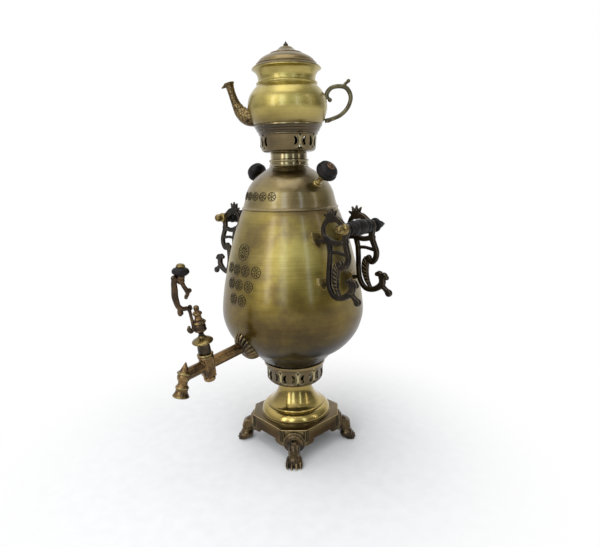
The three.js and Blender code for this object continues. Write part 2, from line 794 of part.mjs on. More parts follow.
const unitTurn = 360 / galleryUnits;
const galleryOutline = scaledProfile(galleryProfileShares, galleryRadius, galleryHeight, galleryBottom);
const galleryDrumRadius = galleryOutline[4][0];
const galleryBandHeight = galleryBottom + galleryHeight * 0.46;
function buildGallery() {
  const inside = galleryDrumRadius - galleryWall;
  const drum = solid(turned([
    ...galleryOutline,
    [inside, galleryBottom + galleryHeight],
    [inside, galleryBottom + galleryHeight * 0.36],
    [inside * 0.92, galleryBottom + galleryWall * 1.6],
    [pedestalNeckBore, galleryBottom + galleryWall],
    [pedestalNeckBore, galleryBottom],
  ], ringSides));
  const centres = Array.from({ length: galleryUnits }, (_, i) => -90 + i * unitTurn);
  return drum.subtract(union(piercings(galleryDrumRadius, galleryBandHeight, centres, [1], 1)));
}

addPiece('draught_gallery', buildGallery(), agedBrass);

// Tap frame: the pipe runs down and out through the middle of the valve barrel

const tapFrame = new THREE.Group();
tapFrame.position.set(0, -tapReach, tapHeight);
tapFrame.rotation.x = degrees(pipeSlope);
samovar.add(tapFrame);

const spindleFrame = new THREE.Group();
spindleFrame.position.set(0, -tapReach, tapHeight);
spindleFrame.rotation.x = degrees(spindleLean);
samovar.add(spindleFrame);

function placed(geometry, frame) {
  frame.updateMatrix();
  return geometry.clone().applyMatrix4(frame.matrix);
}

// Where the pipe's axis meets the body's skin, by halving
function pipeEntry() {
  const slope = Math.tan(degrees(pipeSlope));
  let near = 0;
  let far = tapReach;
  for (let i = 0; i < entryHalvings; i += 1) {
    const middle = (near + far) / 2;
    const height = tapHeight + middle * slope;
    const share = (height - bodyBottom) / bodyHeight;
    if (tapReach - middle > bodyRadiusAt(share)) {
      near = middle;
    } else {
      far = middle;
    }
  }
  return near / Math.cos(degrees(pipeSlope));
}

function bodyRadiusAt(share) {
  const height = bodyBottom + share * bodyHeight;
  const above = bodyOutline.findIndex(([, h]) => h >= height);
  const [r1, h1] = bodyOutline[above];
  const [r0, h0] = bodyOutline[above - 1];
  return THREE.MathUtils.mapLinear(height, h0, h1, r0, r1);
}

const pipeLength = pipeEntry();

// Water body

function buildBody() {
  const mouth = [bodyInside[bodyInside.length - 1][0], bodyTop];
  const holeRadius = fireboxRadius + seatGap;
  const shell = solid(turned([
    [holeRadius, bodyBottom], ...bodyOutline, mouth, ...bodyInside.slice(0, -1).reverse(),
    [holeRadius, bodyFloorTop],
  ], bodySides));
  const hole = rod(pipeRadius + seatGap, pipeLength - 2 * overrun, pipeLength + 3 * overrun, knobSides);
  return shell.subtract(solid(placed(hole, tapFrame)));
}

addPiece('water_body', buildBody(), agedBrass);

const tubeBottom = bodyBottom - tubeDrop;
const tubeTop = neckTop - flueTopDrop;
const ledgeTop = bodyBottom + grateLedge;

function buildFireTube() {
  const taperStart = bodyBottom + fireboxHeight;
  const taperEnd = taperStart + flueTaperHeight;
  const beadBottom = bodyFloorTop + seatGap;
  return turned([
    [fireboxRadius, tubeBottom], [fireboxRadius, beadBottom], [fireboxRadius + tubeBeadWidth, beadBottom],
    [fireboxRadius + tubeBeadWidth, beadBottom + tubeBeadThick], [fireboxRadius, beadBottom + tubeBeadThick],
    [fireboxRadius, taperStart], [flueRadius, taperEnd], [flueRadius, tubeTop],
    [flueRadius - tubeWall, tubeTop], [flueRadius - tubeWall, taperEnd],
    [fireboxRadius - tubeWall, taperStart],
    [fireboxRadius - tubeWall, ledgeTop], [fireboxRadius - tubeWall - grateLedge, ledgeTop],
    [fireboxRadius - tubeWall - grateLedge, tubeBottom],
  ], tubeSides);
}

function buildGrate() {
  const radius = fireboxRadius - tubeWall - seatGap;
  const bottom = ledgeTop + seatGap;
  let plate = solid(post(radius, bottom, bottom + grateThick, tubeSides));
  const pitch = grateSlotWidth + grateBarWidth;
  const slotCircle = radius - grateLedge - grateBarWidth * 0.5;
  for (let i = 0; i < grateSlots; i += 1) {
    const x = (i - (grateSlots - 1) / 2) * pitch;
    const halfSlot = grateSlotWidth / 2;
    const half = Math.sqrt(Math.max(slotCircle ** 2 - (Math.abs(x) + halfSlot) ** 2, 0));
    const slot = block(x - halfSlot, x + halfSlot, -half, half, bottom - overrun, bottom + 2 * overrun);
    plate = half > 0 ? plate.subtract(solid(slot)) : plate;
  }
  return plate;
}

addPiece('fire_tube', buildFireTube(), castIron);
addPiece('fire_grate', buildGrate(), castIron);

// Lid of the water body, its neck and its two knobs

const stemRadial = seamRadius * knobStemRadialShare;

function lidHeightAt(radius) {
  const beyond = lidOutline.findIndex(([r]) => r <= radius);
  const [r1, h1] = lidOutline[beyond];
  const [r0, h0] = lidOutline[beyond - 1];
  return THREE.MathUtils.mapLinear(radius, r0, r1, h0, h1);
}

const lidKnobs = [{ side: 'right', turn: 0 }, { side: 'left', turn: 180 }];

function knobFrame(turn) {
  const frame = new THREE.Group();
  const lean = new THREE.Group();
  frame.rotation.z = degrees(turn);
  lean.position.set(stemRadial, 0, lidHeightAt(stemRadial));
  lean.rotation.y = degrees(knobLean);
  frame.add(lean);
  samovar.add(frame);
  frame.updateMatrix();
  lean.updateMatrix();
  return { lean, matrix: frame.matrix.clone().multiply(lean.matrix) };
}

const knobFrames = lidKnobs.map(({ side, turn }) => ({ side, ...knobFrame(turn) }));

function buildLid() {
  const inner = thinned(insetProfile(lidOutline, lidWall));
  const topInner = [neckBore, lidTop];
  const floorInner = inner.filter(([r, h]) => r > neckBore + 2 * lidWall && h > lidBottom + lidWall);
  const skirtOuter = seamRadius - bodyWall - runningGap - bodyWall * 0.5;
  const bead = [
    [seamRadius + seamBead, lidBottom], [seamRadius + seamBead, lidBottom + seamBeadHeight * 0.7],
    [lidOutline[1][0] + seamBead * 0.4, lidBottom + seamBeadHeight],
  ];
  let shell = solid(turned([
    ...bead, ...lidOutline.slice(1), topInner, [neckBore, lidTop - lidWall], ...floorInner.reverse(),
    [skirtOuter - lidSkirtWall, lidBottom + lidWall], [skirtOuter - lidSkirtWall, lidBottom - lidSkirtDepth],
    [skirtOuter, lidBottom - lidSkirtDepth], [skirtOuter, lidBottom],
  ], lidSides));
  knobFrames.forEach(({ matrix }) => {
    const hole = post(knobShankRadius + seatGap, -knobShankDepth - overrun, knobShankDepth, pinSides);
    shell = shell.subtract(solid(hole.applyMatrix4(matrix)));
  });
  return shell;
}

function buildNeck() {
  const outline = scaledProfile(neckProfileShares, neckRadius, neckHeight, neckBottom);
  return turned([...outline, [neckBore, neckTop], [neckBore, neckBottom]], ringSides);
}

addPiece('samovar_lid', buildLid(), agedBrass);
addPiece('lid_neck', buildNeck(), agedBrass);

function buildKnobStem(matrix) {
  const stem = turned([
    [0, -knobShankDepth], [knobShankRadius, -knobShankDepth], [knobShankRadius, -seatGap],
    [knobStemRadius * 1.7, -overrun * 0.5], [knobStemRadius * 1.7, knobStemLength * 0.12],
    [knobStemRadius, knobStemLength * 0.26], [knobStemRadius * 0.9, knobStemLength * 0.66],
    [knobStemRadius * 1.5, knobStemLength * 0.78], [knobStemRadius * 1.5, knobStemLength],
    [knobShankRadius, knobStemLength], [knobShankRadius, knobStemLength + knobThick],
    [0, knobStemLength + knobThick],
  ], pinSides);
  const shank = solid(post(knobShankRadius, -knobShankDepth, knobStemLength * 0.12, pinSides));
  const inverse = matrix.clone().invert();
  const lidThere = solid(geometryOf(lidBlock).applyMatrix4(inverse));
  return solid(stem).subtract(lidThere).add(shank);
}

const stemShape = buildKnobStem(knobFrames[0].matrix);
const knobBottom = knobStemLength + seatGap;
knobFrames.forEach(({ side, lean }) => {
  addPiece(`knob_stem_${side}`, stemShape, goldBrass, lean);
  const knob = scaledProfile(knobProfileShares, knobRadius, knobThick, knobBottom);
  const bore = knobShankRadius + seatGap;
  const outline = [[bore, knobBottom], ...knob, [bore, knobBottom + knobThick]];
  addPiece(`lid_knob_${side}`, turned(outline, knobSides), blackWood, lean);
  const capBottom = knobBottom + knobThick + seatGap;
  addPiece(`knob_cap_${side}`, turned([
    [0, capBottom], [knobCapRadius, capBottom], [knobCapRadius, capBottom + knobCapHeight * 0.4],
    [knobCapRadius * 0.6, capBottom + knobCapHeight * 0.85], [0, capBottom + knobCapHeight],
  ], pinSides), goldBrass, lean);
});

// Crown

const crownOutline = scaledProfile(crownProfileShares, crownRadius, crownHeight, crownBottom);
const crownBandRadius = (crownOutline[2][0] + crownOutline[3][0]) / 2;
const crownBandHeight = crownBottom + crownHeight * 0.385;
const spigotRadius = neckBore - runningGap;
const crownRecess = crownRadius - crownRimWidth;

function buildCrown() {
  const bore = spigotRadius - crownSpigotWall;
  const inner = insetProfile(crownOutline.slice(2, 4), crownWall);
  const drum = solid(turned([
    [bore, crownBottom - crownSpigotDepth], [spigotRadius, crownBottom - crownSpigotDepth],
    [spigotRadius, crownBottom], ...crownOutline, [crownRecess, crownTop],
    [crownRecess, crownTop - teapotFootDepth - crownWall], inner[1], inner[0],
    [inner[0][0] - crownWall, crownBottom + crownFloorWall], [bore, crownBottom + crownFloorWall],
  ], ringSides));
  const centres = Array.from({ length: crownSections }, (_, i) => (i * 360) / crownSections);
  const size = crownBandRadius / galleryDrumRadius;
  const cutters = piercings(crownBandRadius, crownBandHeight, centres, [-1, 1], size);
  centres.forEach((centre) => {
    [-1, 1].forEach((side) => {
      const next = centre + side * unitTurn;
      cutters.push(drumCutter(crescentShape(-side, size), next, crownBandHeight, crownBandRadius));
    });
  });
  return drum.subtract(union(cutters));
}

addPiece('teapot_crown', buildCrown(), agedBrass);

// Teapot, turned on the crown so that its spout stands between the tap and the left handle

const teapotFrame = new THREE.Group();
teapotFrame.rotation.z = degrees(teapotTurn);
samovar.add(teapotFrame);

const teapotOutline = scaledProfile(teapotProfileShares, teapotRadius, teapotHeight, teapotBottom);
const teapotBlock = blockInside(teapotOutline, seatGap, teapotSides);
const footRadius = crownRecess - nestGap;

function buildTeapot() {
  const inside = scaledProfile(teapotInsideShares, teapotRadius, teapotHeight, teapotBottom);
  let pot = solid(turned([
    [0, teapotBottom - teapotFootDepth], [footRadius, teapotBottom - teapotFootDepth],
    [footRadius, teapotBottom], ...teapotOutline, ...inside, [0, teapotBottom + teapotWall * 0.5],
  ], teapotSides));
  const [root] = spoutShares;
  const strainer = rod(teapotWall * 1.2, 0, spoutReach, barSides);
  strainer.rotateZ(Math.PI / 2);
  [[-1.6, 0.4], [1.6, 0.4], [0, -1.8], [0, 2.2]].forEach(([across, up]) => {
    const hole = strainer.clone();
    const height = teapotBottom + root[1] * teapotHeight + (up + 1.6) * teapotWall;
    hole.translate(0, across * teapotWall * 2, height);
    pot = pot.subtract(solid(hole));
  });
  return pot;
}

function spoutRings(offset, stretch) {
  const centres = spoutShares.map(([x, z]) => {
    return new THREE.Vector3(-x * spoutReach, 0, teapotBottom + z * teapotHeight);
  });
  return centres.map((centre, i) => {
    const before = centres[Math.max(i - 1, 0)];
    const after = centres[Math.min(i + 1, centres.length - 1)];
    const along = after.clone().sub(before).normalize();
    const across = new THREE.Vector3(along.z, 0, -along.x);
    const radius = spoutShares[i][2] * teapotRadius + offset;
    const end = i === 0 ? -stretch : stretch;
    const shift = i === 0 || i === centres.length - 1 ? end : 0;
    return Array.from({ length: spoutSides }, (_, j) => {
      const turn = (j / spoutSides) * 2 * Math.PI;
      const point = centre.clone().addScaledVector(along, shift);
      point.addScaledVector(across, radius * Math.cos(turn));
      point.y += radius * Math.sin(turn);
      return point;
    });
  });
}

function buildSpout() {
  const rimZone = solid(post(crownRadius + nestGap, crownBottom, teapotBottom + seatGap, ringSides));
  const tube = solid(loft(spoutRings(0, 0))).subtract(teapotBlock).subtract(rimZone);
  const spur = ovalBar(
    [
      [-spoutReach * 1.02, teapotBottom + teapotHeight * 0.73],
      [-spoutReach * 1.125, teapotBottom + teapotHeight * 0.69],
    ],
    [spoutMouthRadius * 0.7, spoutMouthRadius * 0.3],
    [spoutMouthRadius * 0.7, spoutMouthRadius * 0.3],
    barSides,
    2,
  );
  return tube.add(solid(spur)).subtract(solid(loft(spoutRings(-spoutWall, overrun))));
}

function buildPotHandle() {
  const place = ([x, z]) => [x * teapotRadius, teapotBottom + z * teapotHeight];
  const count = potHandleShares.length;
  const loop = ovalBar(
    potHandleShares.map(place),
    Array(count).fill(potHandleWidth),
    Array(count).fill(potHandleDepth),
    loopSides,
    potHandleSteps,
  );
  const spur = ovalBar(
    thumbSpurShares.map(place),
    [potHandleWidth, potHandleWidth * 0.8, potHandleWidth * 0.7],
    [potHandleDepth, potHandleDepth * 0.8, potHandleDepth * 0.7],
    barSides,
    3,
  );
  return solid(loop).add(solid(spur)).subtract(teapotBlock);
}

addPiece('teapot_body', buildTeapot(), agedBrass, teapotFrame);
addPiece('teapot_spout', buildSpout(), goldBrass, teapotFrame);
addPiece('teapot_handle', buildPotHandle(), agedBrass, teapotFrame);

function buildPotLid() {
  const outline = scaledProfile(potLidProfileShares, potLidRadius, potLidHeight, potLidBottom);
  const inside = scaledProfile(potLidInsideShares, potLidRadius, potLidHeight, potLidBottom);
  const holeRadius = finialTenon + seatGap;
  return turned([
    ...outline, [holeRadius, potLidBottom + potLidHeight], [holeRadius, inside[0][1]], ...inside,
    [potLidSpigotRadius - potLidWall, potLidBottom - potLidSpigotDepth],
    [potLidSpigotRadius, potLidBottom - potLidSpigotDepth], [potLidSpigotRadius, potLidBottom],
  ], teapotSides);
}

function buildFinial() {
  const bottom = potLidBottom + potLidHeight + seatGap;
  return turned([
    [0, bottom - finialTenonLength], [finialTenon, bottom - finialTenonLength], [finialTenon, bottom],
    [finialRadius, bottom], [finialRadius, bottom + finialHeight * 0.22],
    [finialRadius * 0.75, bottom + finialHeight * 0.5], [finialRadius * 0.3, bottom + finialHeight * 0.84],
    [0, bottom + finialHeight],
  ], pinSides);
}

addPiece('teapot_lid', buildPotLid(), agedBrass, teapotFrame);
addPiece('teapot_finial', buildFinial(), darkBronze, teapotFrame);

// Tap casting: inlet pipe, barrel and outlet pipe in one piece, bored through

const barrelEnd = barrelTop + ridgeHeight;

function plugRadiusAt(height) {
  return THREE.MathUtils.mapLinear(height, -barrelFoot, barrelEnd, plugFootRadius, plugTopRadius);
}

function inTapFrame(geometry) {
  const turnBack = new THREE.Group();
  turnBack.rotation.x = degrees(spindleLean - pipeSlope);
  return placed(geometry, turnBack);
}

const inletEnd = pipeLength + pipeInside;
const pipeTip = -outletLength + nozzleBore + 3 * seatGap;

function buildTapCasting() {
  const pipe = solid(rod(pipeRadius, pipeTip, inletEnd, knobSides));
  const barrel = solid(inTapFrame(turned([
    [0, -barrelFoot], [barrelFootRadius, -barrelFoot], [barrelTopRadius, barrelTop], [ridgeRadius, barrelTop],
    [ridgeRadius, barrelTop + ridgeHeight * 0.6], [barrelTopRadius, barrelEnd], [0, barrelEnd],
  ], knobSides)));
  const plugHole = solid(inTapFrame(turned([
    [0, -barrelFoot - overrun], [plugRadiusAt(-barrelFoot - overrun) + seatGap, -barrelFoot - overrun],
    [plugRadiusAt(barrelEnd + overrun) + seatGap, barrelEnd + overrun], [0, barrelEnd + overrun],
  ], knobSides)));
  const bore = solid(rod(pipeBore, -outletLength - overrun, inletEnd + overrun, pinSides));
  return pipe.add(barrel).subtract(bore).subtract(plugHole);
}

addPiece('tap_casting', buildTapCasting(), darkBronze, tapFrame);

// Fluted shell round the root of the tap

function buildTapShell() {
  const entry = new THREE.Vector3(0, pipeLength, 0);
  const height = tapHeight + pipeLength * Math.sin(degrees(pipeSlope));
  const step = bodyHeight * 0.02;
  const share = (height - bodyBottom) / bodyHeight;
  const flare = bodyRadiusAt(share + 0.02) - bodyRadiusAt(share - 0.02);
  const tilt = Math.atan2(flare, 2 * step) - degrees(pipeSlope);
  const up = new THREE.Vector3(0, -Math.sin(tilt), Math.cos(tilt));
  const levels = [[-0.6, 1.05], [0, 1], [0.6, 0.8], [1, 0.5]];
  const sides = shellFlutes * 2;
  const rings = levels.map(([out, spread]) => Array.from({ length: sides }, (_, j) => {
    const turn = (j / sides) * 2 * Math.PI;
    const flute = j % 2 === 0 ? 1 : 0.93;
    const point = entry.clone();
    point.y -= out * shellProud;
    point.x += spread * flute * shellHalfWidth * Math.cos(turn);
    return point.addScaledVector(up, spread * flute * shellRise * Math.sin(turn));
  }));
  const bodyThere = solid(geometryOf(bodyBlock).applyMatrix4(tapFrame.matrix.clone().invert()));
  const pipeHole = solid(rod(pipeRadius + seatGap, 0, pipeLength + 2 * overrun, knobSides));
  return solid(loft(rings)).subtract(bodyThere).subtract(pipeHole);
}

function buildBackPlate() {
  const toTap = tapFrame.matrix.clone().invert();
  const round = solid(rod(plateRadius, pipeLength - pipeInside, pipeLength + 2 * pipeInside, knobSides));
  const hole = solid(rod(pipeRadius + seatGap, 0, pipeLength + 3 * pipeInside, knobSides));
  const inside = solid(geometryOf(cavityBlock).applyMatrix4(toTap));
  const core = solid(geometryOf(cavityCore).applyMatrix4(toTap));
  return round.intersect(inside).subtract(core).subtract(hole);
}

addPiece('tap_shell', buildTapShell(), darkBronze, tapFrame);
addPiece('tap_back_plate', buildBackPlate(), goldBrass, tapFrame);

// Spout nozzle with its small spire

const nozzleFrame = new THREE.Group();
nozzleFrame.position.set(0, -nozzleReach, tapHeight - outletLength * Math.sin(degrees(pipeSlope)));
nozzleFrame.rotation.x = -degrees(nozzleLean);
samovar.add(nozzleFrame);

function buildNozzle() {
  const ring = nozzleRingRadius;
  const outside = solid(turned([
    [0, nozzleRise], [ring * 0.42, nozzleRise * 0.66], [ring, nozzleRise * 0.3], [ring, -nozzleDrop * 0.2],
    [ring * 0.75, -nozzleDrop * 0.28], [ring * 0.74, -nozzleDrop * 0.42], [ring * 0.96, -nozzleDrop * 0.56],
    [ring * 0.9, -nozzleDrop * 0.66], [nozzleMouthRadius, -nozzleDrop * 0.9],
    [nozzleMouthRadius, -nozzleDrop], [0, -nozzleDrop],
  ], knobSides));
  const bore = solid(turned([
    [0, nozzleBore * 0.8], [nozzleBore, 0], [nozzleBore, -nozzleDrop * 0.6],
    [nozzleMouthRadius * 0.82, -nozzleDrop], [nozzleMouthRadius * 0.82, -nozzleDrop - overrun],
    [0, -nozzleDrop - overrun],
  ], pinSides));
  nozzleFrame.updateMatrix();
  const toNozzle = nozzleFrame.matrix.clone().invert().multiply(tapFrame.matrix);
  const socket = rod(pipeRadius + seatGap, pipeTip - seatGap, 0, knobSides);
  const waterway = rod(pipeBore, -outletLength, 0, pinSides);
  const cuts = [socket, waterway].map((geometry) => solid(geometry.applyMatrix4(toNozzle)));
  return outside.subtract(bore).subtract(cuts[0]).subtract(cuts[1]);
}

addPiece('tap_nozzle', buildNozzle(), darkBronze, nozzleFrame);

// Turning parts of the tap

const plugShoulder = barrelEnd + seatGap;
const discBottom = plugShoulder + plugNeckHeight;
const stemTop = discBottom + dripDiscHeight + plugStemHeight;
const hubBottom = stemTop + seatGap;
const hubTop = hubBottom + hubHeight;
const topNutBottom = hubTop + seatGap;
const threadTop = topNutBottom + topNutHeight * 0.45;

function buildPlug() {
  const nutTop = -barrelFoot - seatGap;
  const thread = plugFootRadius * 0.66;
  const threadFoot = nutTop - plugNutHeight + plugNutCover + seatGap;
  const outline = turned([
    [0, threadFoot], [thread, threadFoot], [thread, nutTop], [plugRadiusAt(nutTop), nutTop],
    [plugRadiusAt(plugShoulder), plugShoulder],
    [plugNeckRadius, plugShoulder], [plugNeckRadius, discBottom - plugNeckHeight * 0.12],
    [plugNeckRadius * 0.9, discBottom], [dripDiscRadius, discBottom + dripDiscHeight * 0.1],
    [dripDiscRadius, discBottom + dripDiscHeight * 0.26],
    [dripDiscRadius * 0.76, discBottom + dripDiscHeight * 0.62],
    [dripDiscRadius * 0.38, discBottom + dripDiscHeight * 0.9], [plugStemRadius, discBottom + dripDiscHeight],
    [plugStemRadius, stemTop], [tangRadius, stemTop], [tangRadius, threadTop], [0, threadTop],
  ], knobSides);
  const port = rod(plugPortRadius, -2 * plugTopRadius, 2 * plugTopRadius, portSides);
  port.rotateZ(Math.PI / 2);
  return solid(outline).subtract(solid(port));
}

function buildPlugNut() {
  const top = -barrelFoot - seatGap - seatGap;
  const bottom = top - plugNutHeight;
  const bore = plugFootRadius * 0.66 + seatGap;
  return turned([
    [0, bottom], [plugNutRadius * 0.8, bottom], [plugNutRadius, bottom + plugNutHeight * 0.25],
    [plugNutRadius, top], [bore, top], [bore, bottom + plugNutCover], [0, bottom + plugNutCover],
  ], pinSides);
}

function buildKey() {
  const ring = hubRadius;
  const bore = tangRadius + seatGap;
  const hub = solid(turned([
    [bore, hubBottom], [ring * 0.8, hubBottom], [ring, hubBottom + hubHeight * 0.08],
    [ring, hubBottom + hubHeight * 0.6], [ring * 0.84, hubBottom + hubHeight * 0.66],
    [ring + hubCollar, hubBottom + hubHeight * 0.72], [ring + hubCollar, hubBottom + hubHeight * 0.86],
    [ring * 0.78, hubTop], [bore, hubTop],
  ], knobSides));
  const bars = keyBars.map(({ pathShares, widthShares, steps }) => {
    const path = pathShares.map(([out, up]) => [out * keyReach, hubBottom + up * keyRise]);
    const widths = widthShares.map((share) => share * keyReach);
    const depths = widthShares.map((share) => Math.min(keyDepth, share * keyReach));
    const bar = ovalBar(path, widths, depths, steps > 4 ? loopSides : barSides, steps);
    bar.rotateZ(-Math.PI / 2);
    return solid(bar);
  });
  const hole = solid(post(bore, hubBottom - overrun, hubTop + overrun, knobSides));
  return union([hub, ...bars]).subtract(hole);
}

addPiece('tap_plug', buildPlug(), darkBronze, spindleFrame);
addPiece('plug_nut', buildPlugNut(), darkBronze, spindleFrame);
addPiece('key_lever', buildKey(), darkBronze, spindleFrame);

function buildTopNut() {
  const outline = scaledProfile(topNutProfileShares, topNutRadius, topNutHeight, topNutBottom);
  const bore = tangRadius + seatGap;
  const boreTop = threadTop + seatGap;
  return turned([[bore, topNutBottom], ...outline, [0, boreTop], [bore, boreTop]], pinSides);
}

addPiece('key_top_nut', buildTopNut(), goldBrass, spindleFrame);

const keyKnobFrame = new THREE.Group();
keyKnobFrame.position.set(0, -keyReach * 0.5, hubBottom + keyRise * 0.975);
keyKnobFrame.rotation.x = -degrees(keyKnobLean);
spindleFrame.add(keyKnobFrame);
const keyKnobOutline = scaledProfile(keyKnobProfileShares, keyKnobRadius, keyKnobHeight, seatGap);
const buttonBottom = seatGap + keyKnobHeight + seatGap;
const keyKnobShape = turned([[0, seatGap], ...keyKnobOutline, [0, seatGap + keyKnobHeight]], knobSides);
addPiece('key_knob', keyKnobShape, blackWood, keyKnobFrame);
addPiece('key_button', turned([
  [0, buttonBottom], [keyButtonRadius, buttonBottom], [keyButtonRadius, buttonBottom + keyButtonHeight * 0.3],
  [keyButtonRadius * 0.7, buttonBottom + keyButtonHeight * 0.8], [0, buttonBottom + keyButtonHeight],
], pinSides), goldBrass, keyKnobFrame);

// Handles: two openwork brackets, a turned grip and a rod with a finial and a cap nut

const bracketFace = bracketSpacing / 2 + bracketDepth / 2;

function buildBracket(mirror, handleMatrix) {
  const bars = bracketBars.map(({ pathShares, widthShares, steps }) => {
    const path = pathShares.map(([inward, down]) => [-inward * bracketInset, -down * bracketDrop]);
    const widths = widthShares.map((share) => share * bracketInset);
    return solid(ovalBar(path, widths, Array(widths.length).fill(bracketDepth), barSides, steps));
  });
  const eye = solid(rod(eyeRadius, -bracketDepth / 2, bracketDepth / 2, pinSides));
  const lugs = [
    { share: upperLugShare, from: 0.72, half: upperLugHalfHeight },
    { share: lowerLugShare, from: 0.62, half: lowerLugHalfHeight },
  ].map(({ share, from, half }) => {
    const height = -share * bracketDrop;
    const skin = bodyRadiusAt((gripHeight + height - bodyBottom) / bodyHeight);
    const wall = skin - gripReach;
    const arm = ovalBar(
      [[-from * bracketInset, height], [wall - overrun, height - half * 0.2]],
      [half * 0.7, half * 0.9],
      [bracketDepth, bracketDepth],
      barSides,
      2,
    );
    const slab = ovalBar([[wall - lugThick * 4, height - half], [wall - lugThick * 4, height + half]],
      [lugThick * 14, lugThick * 14], [2 * lugHalfWidth, 2 * lugHalfWidth], loopSides, 1);
    return { arm: solid(arm), slab: solid(slab) };
  });
  const lean = new THREE.Group();
  lean.position.y = (mirror * bracketSpacing) / 2;
  lean.rotation.x = mirror * degrees(bracketSplay);
  lean.updateMatrix();
  const toLean = handleMatrix.clone().multiply(lean.matrix).invert();
  const bodyThere = solid(geometryOf(bodyBlock).applyMatrix4(toLean));
  const lugSkin = blockInside(bodyOutline, seatGap + lugThick, bodySides);
  const lugZone = solid(geometryOf(lugSkin).applyMatrix4(toLean));
  const toHandle = lean.matrix.clone().invert();
  const faceRadius = gripRadius + nestGap;
  const cuts = [
    rod(rodRadius + seatGap, -bracketSpacing, bracketSpacing, pinSides),
    rod(faceRadius, bracketDepth / 2 - bracketSpacing / 2, bracketSpacing / 2 - bracketDepth / 2, knobSides),
    rod(faceRadius, bracketFace, bracketFace + overrun, knobSides),
    rod(faceRadius, -bracketFace - overrun, -bracketFace, knobSides),
  ].map((geometry) => solid(geometry.applyMatrix4(toHandle)));
  const plates = lugs.map(({ slab }) => slab.intersect(lugZone));
  const whole = union([...bars, eye, ...plates, ...lugs.map(({ arm }) => arm)]);
  return { shape: whole.subtract(bodyThere).subtract(union(cuts)), lean };
}

// The grips mirror each other: both finials point away from the tap
const handles = [{ side: 'right', turn: 0, away: 1 }, { side: 'left', turn: 180, away: -1 }];
const gripHalf = bracketSpacing / 2 - bracketDepth / 2 - seatGap;

function buildGrip() {
  const outline = scaledProfile(gripProfileShares, gripRadius, 2 * gripHalf, -gripHalf);
  const bore = rodRadius + seatGap;
  const grip = turned([[bore, -gripHalf], ...outline, [bore, gripHalf]], knobSides);
  grip.rotateX(Math.PI / 2);
  return grip;
}

// End piece on the rod, built pointing up and then laid along +Y or -Y
function endPiece(outline, direction) {
  const base = bracketFace + seatGap;
  const boreEnd = base + bracketDepth + seatGap;
  const bore = rodRadius + seatGap;
  const shifted = outline.map(([r, h]) => [r, h + base]);
  const piece = turned([[bore, base], ...shifted, [0, boreEnd], [bore, boreEnd]], knobSides);
  piece.rotateX((-direction * Math.PI) / 2);
  return piece;
}

handles.forEach(({ side, turn, away }) => {
  const frame = new THREE.Group();
  frame.rotation.z = degrees(turn);
  const handle = new THREE.Group();
  handle.position.set(gripReach, 0, gripHeight);
  frame.add(handle);
  samovar.add(frame);
  frame.updateMatrix();
  handle.updateMatrix();
  const handleMatrix = frame.matrix.clone().multiply(handle.matrix);
  [[away, 'far'], [-away, 'near']].forEach(([mirror, end]) => {
    const { shape, lean } = buildBracket(mirror, handleMatrix);
    handle.add(lean);
    addPiece(`bracket_${side}_${end}`, shape, darkBronze, lean);
  });
  addPiece(`grip_${side}`, buildGrip(), blackWood, handle);
  const rodEnd = bracketFace + seatGap + bracketDepth;
  addPiece(`grip_rod_${side}`, rod(rodRadius, -rodEnd, rodEnd, pinSides), goldBrass, handle);
  const finial = scaledProfile(finialProfileShares, finialWidth / 2, finialLength, 0);
  addPiece(`grip_finial_${side}`, endPiece(finial, away), blackWood, handle);
  const capNut = scaledProfile(capNutProfileShares, capNutRadius, capNutLength, 0);
  addPiece(`grip_nut_${side}`, endPiece(capNut, -away), goldBrass, handle);
});

samovar.name = 'samovar';

export default samovar;
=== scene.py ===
"""Charcoal samovar in aged brass: turned shells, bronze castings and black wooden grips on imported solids."""
import math
from contextlib import contextmanager

import bpy
from mathutils import Matrix, Vector


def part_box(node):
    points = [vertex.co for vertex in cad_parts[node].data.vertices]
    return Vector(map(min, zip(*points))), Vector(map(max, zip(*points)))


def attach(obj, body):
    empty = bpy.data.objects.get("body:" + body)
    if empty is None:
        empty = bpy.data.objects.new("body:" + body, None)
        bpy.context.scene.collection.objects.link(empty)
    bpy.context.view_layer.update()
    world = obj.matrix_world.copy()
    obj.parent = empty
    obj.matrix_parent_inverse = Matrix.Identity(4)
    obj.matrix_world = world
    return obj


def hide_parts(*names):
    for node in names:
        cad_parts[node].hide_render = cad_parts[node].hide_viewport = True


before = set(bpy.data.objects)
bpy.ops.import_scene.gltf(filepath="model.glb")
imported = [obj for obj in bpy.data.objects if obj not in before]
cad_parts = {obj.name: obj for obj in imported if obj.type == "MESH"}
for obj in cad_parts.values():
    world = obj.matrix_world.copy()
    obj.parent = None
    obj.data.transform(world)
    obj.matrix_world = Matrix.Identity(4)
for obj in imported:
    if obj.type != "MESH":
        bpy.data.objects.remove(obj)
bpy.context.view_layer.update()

MM = 0.001


# Sizes in millimetres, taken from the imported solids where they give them

def in_mm(value):
    return round(value / MM, 2)


def span(node, radius=None, height=None):
    """Radius, height and foot of a turned piece; a given radius or height leaves out beads and spigots."""
    low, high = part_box(node)
    tall = height or in_mm(high.z - low.z)
    return radius or in_mm(high.x), tall, round(in_mm(high.z) - tall, 2)


BASE_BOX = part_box("base_box")
BODY_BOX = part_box("water_body")
AXIS_Y = (BODY_BOX[0].y + BODY_BOX[1].y) / 2

SIDE, BASE_TOP = in_mm(BASE_BOX[1].x), in_mm(BASE_BOX[1].z)
CORNER = 24.4
PEDESTAL = span("pedestal")
GALLERY = span("draught_gallery")
BODY = span("water_body")
LID = span("samovar_lid", 65.2, 56)
NECK_FOOT = in_mm(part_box("lid_neck")[0].z)
CROWN = span("teapot_crown", None, 35.7)
TEAPOT = span("teapot_body", 52.8, 69.9)
COVER = span("teapot_lid", 43.8, 27.6)

